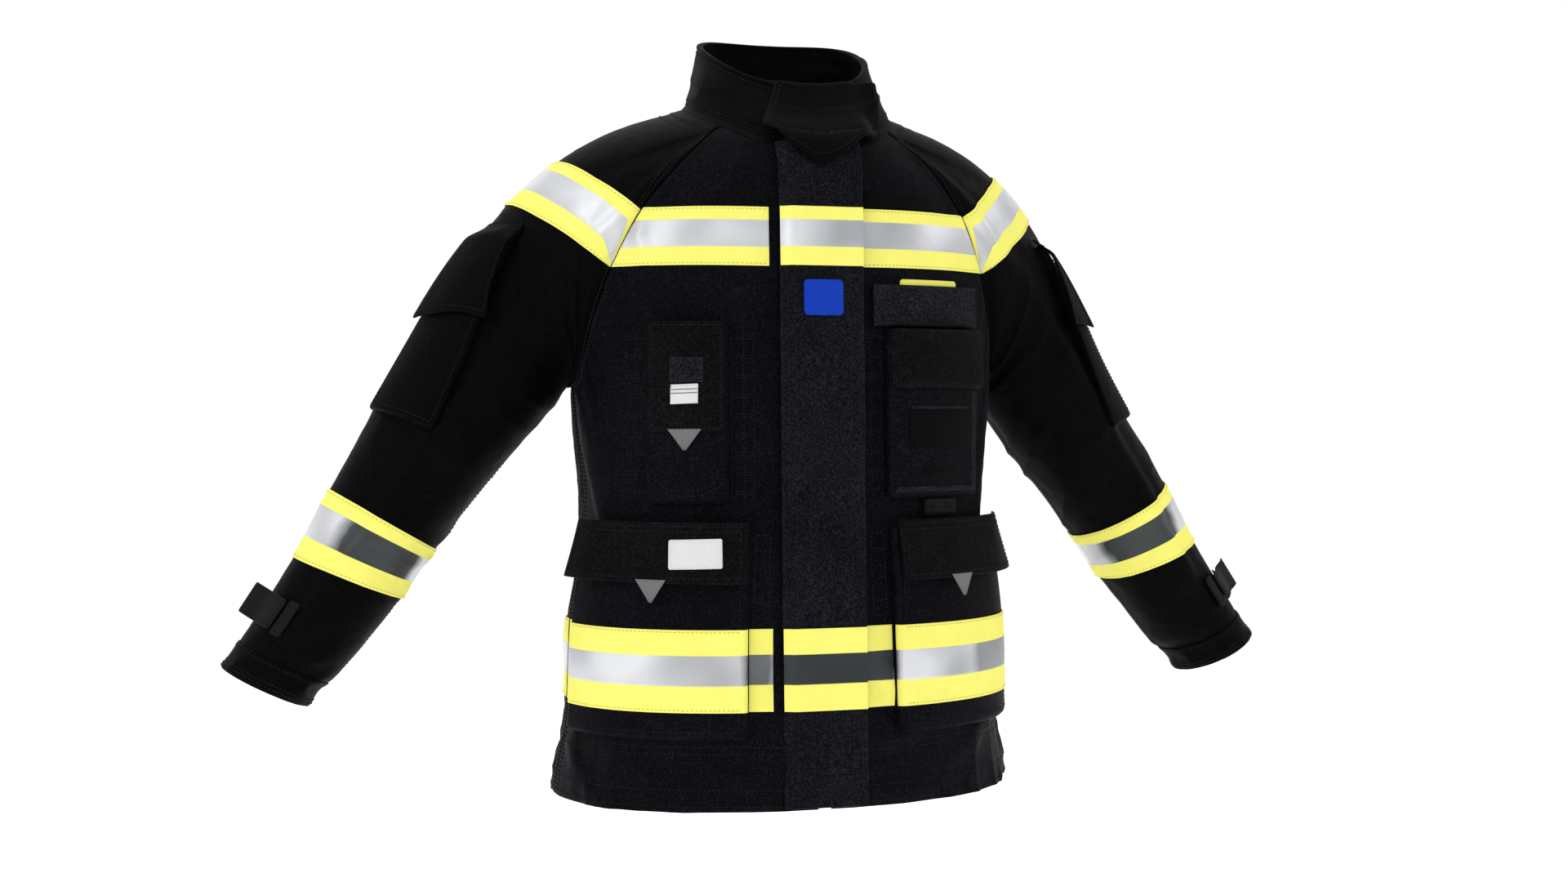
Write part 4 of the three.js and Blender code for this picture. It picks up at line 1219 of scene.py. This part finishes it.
def fullness(s, t):
    """How far a filled waist pocket's face stands out, beyond its flat thickness."""
    return 3.5 * np.maximum(np.sin(math.pi * s), 0) ** 0.6 * smooth(t, 0, 0.35) * smooth(1 - t, 0, 0.3)


def pocket_face(s, t):
    """The distance of a waist pocket's outside off the coat, round its side edges too."""
    inward = np.minimum(np.minimum(s, 1 - s) * WAIST_POCKET_SIZE[0] / POCKET_EDGE, 1)
    rise = np.sqrt(1 - (1 - inward) ** 2)
    return POCKET_BACK + POCKET_THICK * (0.5 + 0.5 * rise) + fullness(s, t) + 0.1


def flare(off, z_range=WAIST_FLAP_Z):
    """A distance that grows downwards, as a waist flap leans away from the coat."""
    return lambda s, t: off + WAIST_FLARE * (WAIST_FLAP_Z[1] - mix(*z_range, t))


def triangle(x, half, z0, z1):
    """A tab that hangs to a blunt point."""
    return lambda s, t: front_uv(x + half * mix(0.08, 1, t) * (2 * s - 1), mix(z0, z1, t))


def pocket_body(name, side, place, size, filling, mirror):
    lay_sheet(name + "_cloth", pocket_fronts[side], place, size, POCKET_BACK, POCKET_THICK, 2.8, SHELL_CLOTH,
              nodes=[name], mirror=mirror, radius=POCKET_EDGE, bulge=filling)


def waist_pockets():
    for side, mirror in SIDES:
        surface = pocket_fronts[side]
        size = WAIST_POCKET_SIZE
        pocket = rounded(span(*POCKET_U, *WAIST_POCKET_Z), size, 7)
        pocket_body("waist_pocket_" + side, side, pocket, size, fullness, mirror)
        paths = seams(pocket, 9, size, pocket_face, "blr")
        thread("waist_pocket_stitching_" + side, surface, paths, mirror=mirror)
        box = span(0.115, 0.17, 206, 300)
        paths = seams(box, 2, (20, 94)) + across(box, 0, 1, (0.2, 0.6, 0.8), count=6)
        thread("waist_bar_stitching_" + side, fronts[side], paths, mirror=mirror, width=1.3)
        body = "waist_flap_" + side
        size = (228, WAIST_FLAP_Z[1] - WAIST_FLAP_Z[0])
        flap = rounded(span(*FLAP_U, *WAIST_FLAP_Z), size, 2)
        lay_sheet(body + "_cloth", surface, flap, size, flare(FLAP_BACK), 3.2, 2.6, POCKET_FLAP_CLOTH, body,
                  [body], mirror, radius=1.3)
        face = flare(FLAP_FACE + 0.1)
        rows = across(flap, 0.02, 0.98, (0.93, 0.84, 0.09), face, 80)
        rows += down(flap, 0.09, 0.84, (0.03, 0.97), face)
        thread("waist_flap_stitching_" + side, surface, rows, body=body, mirror=mirror)
        tab_z = (226, 250)
        tab = triangle(173 if mirror else 152, 13, *tab_z)
        lay("waist_tab_%s_cloth" % side, surface, tab, (26, 24), flare(FLAP_FACE + 0.2, tab_z), 1.8, 1.3,
            GREY_WEBBING, body, ["waist_tab_" + side], mirror, radius=0.8)
    label_z = (262, 294)
    label, size = patch(108, 158, *label_z, 2, -2)
    lay("waist_label_cloth", pocket_fronts["right"], label, size, flare(FLAP_FACE + 0.1, label_z), 1.0, 1.6,
        WHITE_CLOTH, "waist_flap_right", ["waist_label"], True, radius=0.6)


# ---- Chest pockets ----

def ladder(name, side, x, z0, z1, width, mirror):
    """A stitched column with rungs, sewn through the shell beside a pocket."""
    column, height = panel(x, x + width, z0, z1), z1 - z0
    paths = down(column, 0, 1, (0, 0.45, 1))
    for z in np.arange(6, height, 21):
        paths += across(column, 0, 1, (z / height, (z + 3) / height), count=8)
    thread(name, fronts[side], paths, mirror=mirror)


def trim(name, side, place, size, off, thick, material, body="coat", nodes=(), radius=None):
    """A small piece on a chest pocket or its flap."""
    lay(name, pocket_fronts[side], place, size, off, thick, 1.6, material, body, nodes, side == "right",
        radius=radius)


def radio_pocket():
    surface = pocket_fronts["right"]
    body = "radio_flap"
    pocket, size = patch(*RADIO_X, *RADIO_Z, 8)
    pocket_body("radio_pocket", "right", pocket, size, crown(2.5), True)
    thread("radio_pocket_stitching", surface, seams(pocket, 9, size, POCKET_TOP + 0.3, "lr"), mirror=True)
    flap, size = patch(RADIO_X[0] + 4, RADIO_X[1] - 4, 410, RADIO_Z[1], 5)
    flap_off, flap_thick = 13.6, 3.0
    lay_sheet("radio_flap_cloth", surface, flap, size, flap_off, flap_thick, 2.4, POCKET_FLAP_CLOTH, body,
              [body], True, radius=1.3)
    face = flap_off + flap_thick + 0.1
    thread("radio_flap_stitching", surface, seams(flap, 4, size, face), body=body, mirror=True)
    label = patch(131, 157, 440, 461, slant=-1)
    trim("radio_label_cloth", "right", *label, face, 0.9, WHITE_CLOTH, body, ["radio_label"], 0.5)
    for number, z in enumerate((451, 455)):
        fold = patch(131.5, 156.5, z, z + 0.9, slant=-1)
        trim("radio_label_fold_%d" % number, "right", *fold, face + 0.8, 0.5, GREY_WEBBING, body)
    trim("radio_patch_cloth", "right", *patch(126, 158, 463, 490), face, 1.2, STRAP_CLOTH, body)
    tab = triangle(143.5, 16, 390, 413)
    trim("radio_tab_cloth", "right", tab, (32, 23), face, 1.6, GREY_WEBBING, body, ["radio_tab"], 0.8)
    ladder("radio_ladder_outer", "right", 184, 336, 520, 20, True)
    ladder("radio_ladder_inner", "right", 74, 336, 520, 24, True)
    pouch = []
    turn = np.linspace(0, math.pi, 50)
    for inset in (0, 6):
        x, z = 142 - (36 - inset) * np.cos(turn), 372 - (32 - inset) * np.sin(turn) ** 0.6
        pouch.append(np.stack([*front_uv(x, z), np.full(50, POCKET_TOP + 2.2)], -1))
    thread("radio_pouch_stitching", surface, pouch, mirror=True)


def chest_pocket():
    surface = pocket_fronts["left"]
    pocket, size = patch(76, 196, 336, 522, 6)
    pocket_body("chest_pocket", "left", pocket, size, crown(2), False)

    def stuffing(s, t):
        middle = np.maximum(np.sin(math.pi * s), 0) ** 0.5 * np.maximum(np.sin(math.pi * mix(0.15, 1, t)), 0)
        return 4.2 * middle + 5 * smooth(s, 0.7, 1) * (1 - t)

    flap, size = patch(77, 195, 457, 522, 4)
    lay_sheet("chest_flap_cloth", surface, flap, size, 13.6, 3.4, 2.5, POCKET_FLAP_CLOTH, "chest_flap",
              ["chest_flap"], radius=1.6, bulge=stuffing, dent=1)
    strap, size = patch(61, 199, 525, 571, 2)
    lay_sheet("chest_strap_cloth", surface, strap, size, -1, 7, 2.5, STRAP_CLOTH, nodes=["chest_strap"],
              radius=1.6, bulge=crown(1.2))
    thread("chest_strap_stitching", surface, seams(strap, 3, size, 6.3))
    trim("chest_yellow_strip", "left", *patch(95, 171, 566, 577.5, 4), -1, 3.4, YELLOW_STRIP)
    square = patch(98, 182, 390, 430, 0.5, cut=9)
    trim("chest_patch_cloth", "left", *square, POCKET_TOP + 1.2, 1.8, HOOK_AND_LOOP, nodes=["chest_patch"])
    trim("chest_piping", "left", *patch(102, 174, 434, 437.5), POCKET_TOP + 1, 2.6, STRAP_CLOTH, radius=1.2)
    trim("chest_slot", "left", *patch(116, 162, 362, 369), POCKET_TOP + 1, 1.4, HOOK_AND_LOOP)
    trim("chest_hem_band", "left", *patch(82, 190, 342, 348), POCKET_TOP, 1.8, STRAP_CLOTH)
    trim("chest_side_band", "left", *patch(182, 190, 348, 455), POCKET_TOP, 1.8, STRAP_CLOTH)
    lay("name_strip_cloth", fronts["left"], *patch(51, 146, 656, 672), 0.6, 1.6, 1.6, HOOK_AND_LOOP,
        nodes=["name_strip"])
    ladder("chest_ladder", "left", 50, 338, 520, 22, False)
    loop = patch(124, 168, 315, 334, 2)
    trim("utility_loop_cloth", "left", *loop, -1, 6.2, WEBBING, nodes=["utility_loop"])
    for number, (z0, z1) in enumerate(((317.5, 320.5), (324.5, 328.5))):
        bar = patch(130, 162, z0, z1)
        trim("utility_loop_bar_%d" % number, "left", *bar, 5.2, 1.6, STRAP_CLOTH, radius=0.7)


# ---- Sleeve pockets and wrist straps ----

def on_sleeve(x, z):
    """The turn and row of the point on the front of a smooth sleeve that lies over (x, z)."""
    surface = sleeves["left"]
    grid = surface.points[: len(surface.u) // 2 + 1]
    i, j = np.unravel_index(np.argmin((grid[..., 0] - x) ** 2 + (grid[..., 2] - z) ** 2), grid.shape[:2])
    return surface.u[i], surface.v[j]


def sleeve_patch(surface, inner, top_line, low_line, outer):
    """The place of a patch from inner (x, z) points, listed upwards, out to the turn outer."""
    low, high = (band_rows(surface, line, np.array([outer]))[0] for line in (low_line, top_line))
    turns, rows = np.array([on_sleeve(*point) for point in inner]).T
    along = np.linspace(0, 1, len(inner))

    def place(s, t):
        row = mix(np.interp(t, along, rows), mix(low, high, t), s)
        return mix(np.interp(t, along, turns), outer, s), row

    return place


def sleeve_pieces():
    for side, mirror in SIDES:
        surface = pocket_sleeves[side]
        size = (150, 235)
        outer, top_z = (0.03, 606) if mirror else (0.12, 616)
        inner = [(404, 410), (354, 526), (308, 630)]
        top_line, low_line = ((308, top_z), (420, top_z + 18)), ((404, 410), (466, 432))
        pocket = sleeve_patch(surface, inner, top_line, low_line, outer)
        pocket = rounded(pocket, size, 8)
        name = "sleeve_pocket_" + side
        lay_sheet(name + "_cloth", surface, pocket, size, POCKET_BACK, 11, 3.0, SLEEVE_CLOTH, nodes=[name],
                  mirror=mirror, radius=5, bulge=crown(1.5))
        thread("sleeve_pocket_stitching_" + side, surface, seams(pocket, 9, size, 8.9, "lrb"), mirror=mirror)
        size = (155, 92)
        body = "sleeve_flap_" + side
        inner = [(346, 532), (304, 634)]
        flap = sleeve_patch(surface, inner, ((303, 634), (420, 652)), ((346, 532), (470, 524)), outer)
        flap = rounded(flap, size, 5)
        # Its top edge is sewn down to the sleeve, and its outer corner has curled up.
        off = lambda s, t: 11.4 + 2 * smooth(s, 0.72, 1) * (1 - t) - 10 * smooth(t, 0.76, 0.98)
        lay_sheet(body + "_cloth", surface, flap, size, off, 3, 2.6, SLEEVE_CLOTH, body, [body], mirror,
                  radius=1.3)
        paths = seams(flap, 5, size, lambda s, t: off(s, t) + 3.1, "lb")
        thread(body + "_stitching", surface, paths, body=body, mirror=mirror)
        wrist_strap(side, mirror)


def wrist_strap(side, mirror):
    """A strap that leaves the cuff at its free end, with its anchor and its fastening."""
    surface = pocket_sleeves[side]
    body = "wrist_strap_" + side
    size = (46, 38)
    strap = rounded(span(0.02, 0.14, 0.868, 0.918), size, 4)
    lift = lambda s, t: 4.2 + 13 * (1 - smooth(s, 0.0, 0.6)) ** 2
    lay_sheet(body + "_cloth", surface, strap, size, lift, 2.8, 2.0, WEBBING, body, [body], mirror)
    paths = seams(strap, 4, size, lambda s, t: lift(s, t) + 2.9)
    thread(body + "_stitching", surface, paths, body=body, mirror=mirror)
    size = (14, 42)
    anchor = rounded(span(0.143, 0.18, 0.865, 0.921), size, 3)
    lay("wrist_anchor_" + side, surface, anchor, size, 0.2, 3.2, 2.0, WEBBING, mirror=mirror)
    thread("wrist_anchor_stitching_" + side, surface, seams(anchor, 3, size, 3.5), mirror=mirror)
    lay("wrist_fastening_" + side, surface, span(0.03, 0.125, 0.876, 0.911), (36, 26), 0.2, 2.2, 2.2,
        HOOK_AND_LOOP, mirror=mirror)


# ---- Lining ----

def linings():
    turn, low, high = (0.07, 2 * math.pi - 0.07), 24, 785
    vest = Surface(body_point, turn, (low, high), (260, 200))
    vest.rumple((lattice_noise(vest.points, (60, 60, 110), 51) - 0.5) * 2)
    # The lining stops at the armholes and short of the neckline.
    heights = np.linspace(low, high, 400)
    x = half_width(heights)[None, :] * np.abs(bent(np.sin(vest.u)))[:, None]
    opened = (x > raglan_x(np.maximum(heights, ARMPIT_Z))[None, :] - 15) & (heights > ARMPIT_Z - 12)[None, :]
    tops = np.where(opened.any(1), heights[np.argmax(opened, axis=1)], float(high))
    tops = np.minimum(tops, neck_z(np.minimum(vest.u, 2 * math.pi - vest.u)) - 14)

    def place(s, t):
        angle = mix(*turn, s)
        return angle, mix(low, np.interp(angle, vest.u, tops), t)

    def quilt(s, t):
        u, v = s * 1300 / 48, t * 700 / 48
        return 1.7 * (np.abs(np.sin(math.pi * (u + v) / 2)) * np.abs(np.sin(math.pi * (u - v) / 2))) ** 0.5

    size = (1300, 704)
    lay_sheet("barrier_cloth", vest, place, size, -9.6, 1.2, 9.0, BARRIER_CLOTH, nodes=["moisture_barrier"])
    lay_sheet("quilted_lining", vest, place, size, lambda s, t: -13.2 - quilt(s, t), 2.2, 5.0, LINING_CLOTH,
              nodes=["thermal_liner"])
    channels = lambda s, t: -12 - 1.2 * np.abs(np.sin(math.pi * s * 8)) * np.abs(np.sin(math.pi * t * 12))
    ribs = lambda s, t: -16.5 - 0.8 * np.abs(np.sin(math.pi * s * 60))
    for side, mirror in SIDES:
        surface = sleeves[side]
        lay_sheet("sleeve_lining_" + side, surface, span(0, 1, 0.27, 0.97), (440, 520), channels, 2.4, 6.0,
                  LINING_CLOTH, nodes=["sleeve_liner_" + side], mirror=mirror, ring=True)
        lay("wrist_knit_" + side, surface, span(0, 1, 0.88, 0.97), (330, 70), ribs, 2.4, 1.4, KNIT_CLOTH,
            nodes=["wristlet_" + side], mirror=mirror, ring=True)


def hanger_loop():
    """A woven strap bent into a flat loop, with both ends sewn to the collar."""
    width, height, band, thick, radius = 64.0, 18.0, 4.0, 2.0, 5.0
    centre = np.array([0, 70.5, 816.0])
    path = []
    reach = radius - band / 2
    for cx, cz, start in ((1, 1, 0), (-1, 1, 90), (-1, -1, 180), (1, -1, 270)):
        for step in range(7):
            a = math.radians(start + step * 15)
            x = cx * (width / 2 - radius) + reach * math.cos(a)
            path.append((x, cz * (height / 2 - radius) + reach * math.sin(a)))
    path = np.array(path)
    ahead = unit(np.roll(path, -1, 0) - np.roll(path, 1, 0))
    side = np.stack([ahead[:, 1], -ahead[:, 0]], -1)
    along = np.concatenate([[0], np.cumsum(np.linalg.norm(np.diff(path, axis=0), axis=1))])
    section = [
        (-0.5, -0.35), (-0.35, -0.5), (0.35, -0.5), (0.5, -0.35),
        (0.5, 0.35), (0.35, 0.5), (-0.35, 0.5), (-0.5, 0.35),
    ]
    points, flat, faces = [], [], []
    count, ring = len(path), len(section)
    for k in range(count):
        for m, (a, b) in enumerate(section):
            x, z = path[k] + side[k] * a * band
            points.append(centre + [x, b * thick, z])
            flat.append((along[k] * MM, (a + b) * band * MM))
            n, j = (m + 1) % ring, (k + 1) % count
            faces.append([k * ring + m, k * ring + n, j * ring + n, j * ring + m])
    points, flat = np.array(points), np.array(flat)
    show("hanger_strap", (points, faces, flat, flat, np.zeros(len(points))), WEBBING, nodes=["hanger_loop"])


# ---- Studio ----

EYE = (math.radians(-16.03), math.radians(1.26))  # the camera's turn round the coat and its rise
EYE_DISTANCE = 2.31
LENS = 45.58
WHITE = (1, 1, 1, 1)
FLOOR_Z = -0.42
# Each lamp's name, place, size and power.
LAMPS = (
    ("top", (-0.3, 0.3, 2.5), 1.8, 13),
    ("left", (-2.4, -1.5, 1.7), 1.3, 11),
    ("right", (2.5, -0.9, 1.9), 1.2, 9),
    ("front", (-0.5, -3.0, 2.3), 1.6, 13),
)


def room():
    """A white room, half as bright low in front of the coat, with one bright panel that the tape reflects."""
    world = bpy.data.worlds.new("studio")
    bpy.context.scene.world = world
    world.use_nodes = True
    tree = world.node_tree
    way = tree.nodes.new("ShaderNodeTexCoord").outputs["Generated"]
    split = tree.nodes.new("ShaderNodeSeparateXYZ")
    tree.links.new(way, split.inputs[0])

    def eased(value, low, high, to_low, to_high):
        node = tree.nodes.new("ShaderNodeMapRange")
        node.interpolation_type = "SMOOTHSTEP"
        for key, number in (("From Min", low), ("From Max", high), ("To Min", to_low), ("To Max", to_high)):
            node.inputs[key].default_value = number
        tree.links.new(value, node.inputs["Value"])
        return node.outputs["Result"]

    def brightest(a, b):
        node = tree.nodes.new("ShaderNodeMath")
        node.operation = "MAXIMUM"
        tree.links.new(a, node.inputs[0])
        tree.links.new(b, node.inputs[1])
        return node.outputs[0]

    aim = tree.nodes.new("ShaderNodeVectorMath")
    aim.operation = "DOT_PRODUCT"
    aim.inputs[1].default_value = Vector((-0.75, -0.65, 0.1)).normalized()
    tree.links.new(way, aim.inputs[0])
    behind = eased(split.outputs["Y"], -0.75, -0.2, 0.5, 1.0)
    above = eased(split.outputs["Z"], 0.08, 0.3, 0.0, 0.8)
    bright_panel = eased(aim.outputs["Value"], 0.75, 0.95, 0.0, 1.0)
    light = brightest(brightest(behind, above), bright_panel)
    tree.links.new(light, tree.nodes["Background"].inputs["Strength"])
    tree.nodes["Background"].inputs["Color"].default_value = WHITE


def studio():
    scene = bpy.context.scene
    scene.view_settings.view_transform = "Standard"
    azimuth, elevation = EYE
    level = math.cos(elevation)
    away = Vector((math.sin(azimuth) * level, -math.cos(azimuth) * level, math.sin(elevation)))
    data = bpy.data.cameras.new("camera")
    data.lens = LENS
    camera = bpy.data.objects.new("camera", data)
    camera.location = Vector((0.003, SHIFT[1] * MM, 0.396)) + away * EYE_DISTANCE
    camera.rotation_euler = (-away).to_track_quat("-Z", "Y").to_euler()
    scene.collection.objects.link(camera)
    scene.camera = camera
    room()
    for name, place, size, power in LAMPS:
        lamp = bpy.data.lights.new(name, "AREA")
        lamp.size = size
        lamp.energy = power
        light = bpy.data.objects.new(name, lamp)
        light.location = place
        light.rotation_euler = (Vector((0, 0, 0.45)) - Vector(place)).to_track_quat("-Z", "Y").to_euler()
        scene.collection.objects.link(light)
    bpy.ops.mesh.primitive_circle_add(vertices=96, radius=4.5, fill_type="NGON", location=(0, 0, FLOOR_Z))
    floor = bpy.context.object
    floor.name = "floor"
    n = Nodes("floor")
    normal = n.bump(n.noise(n.position(), 3), 0.001, 0.02)
    n.finish((0.95, 0.95, 0.95, 1), 0.9, normal, Emission_Color=WHITE, Emission_Strength=0.5)
    floor.data.materials.append(n.material)


studio()
outer_shell()
sleeve_shells()
build_collar()
build_storm_flap()
build_zip()
body_tapes()
sleeve_tapes()
waist_pockets()
radio_pocket()
chest_pocket()
sleeve_pieces()
linings()
hanger_loop()
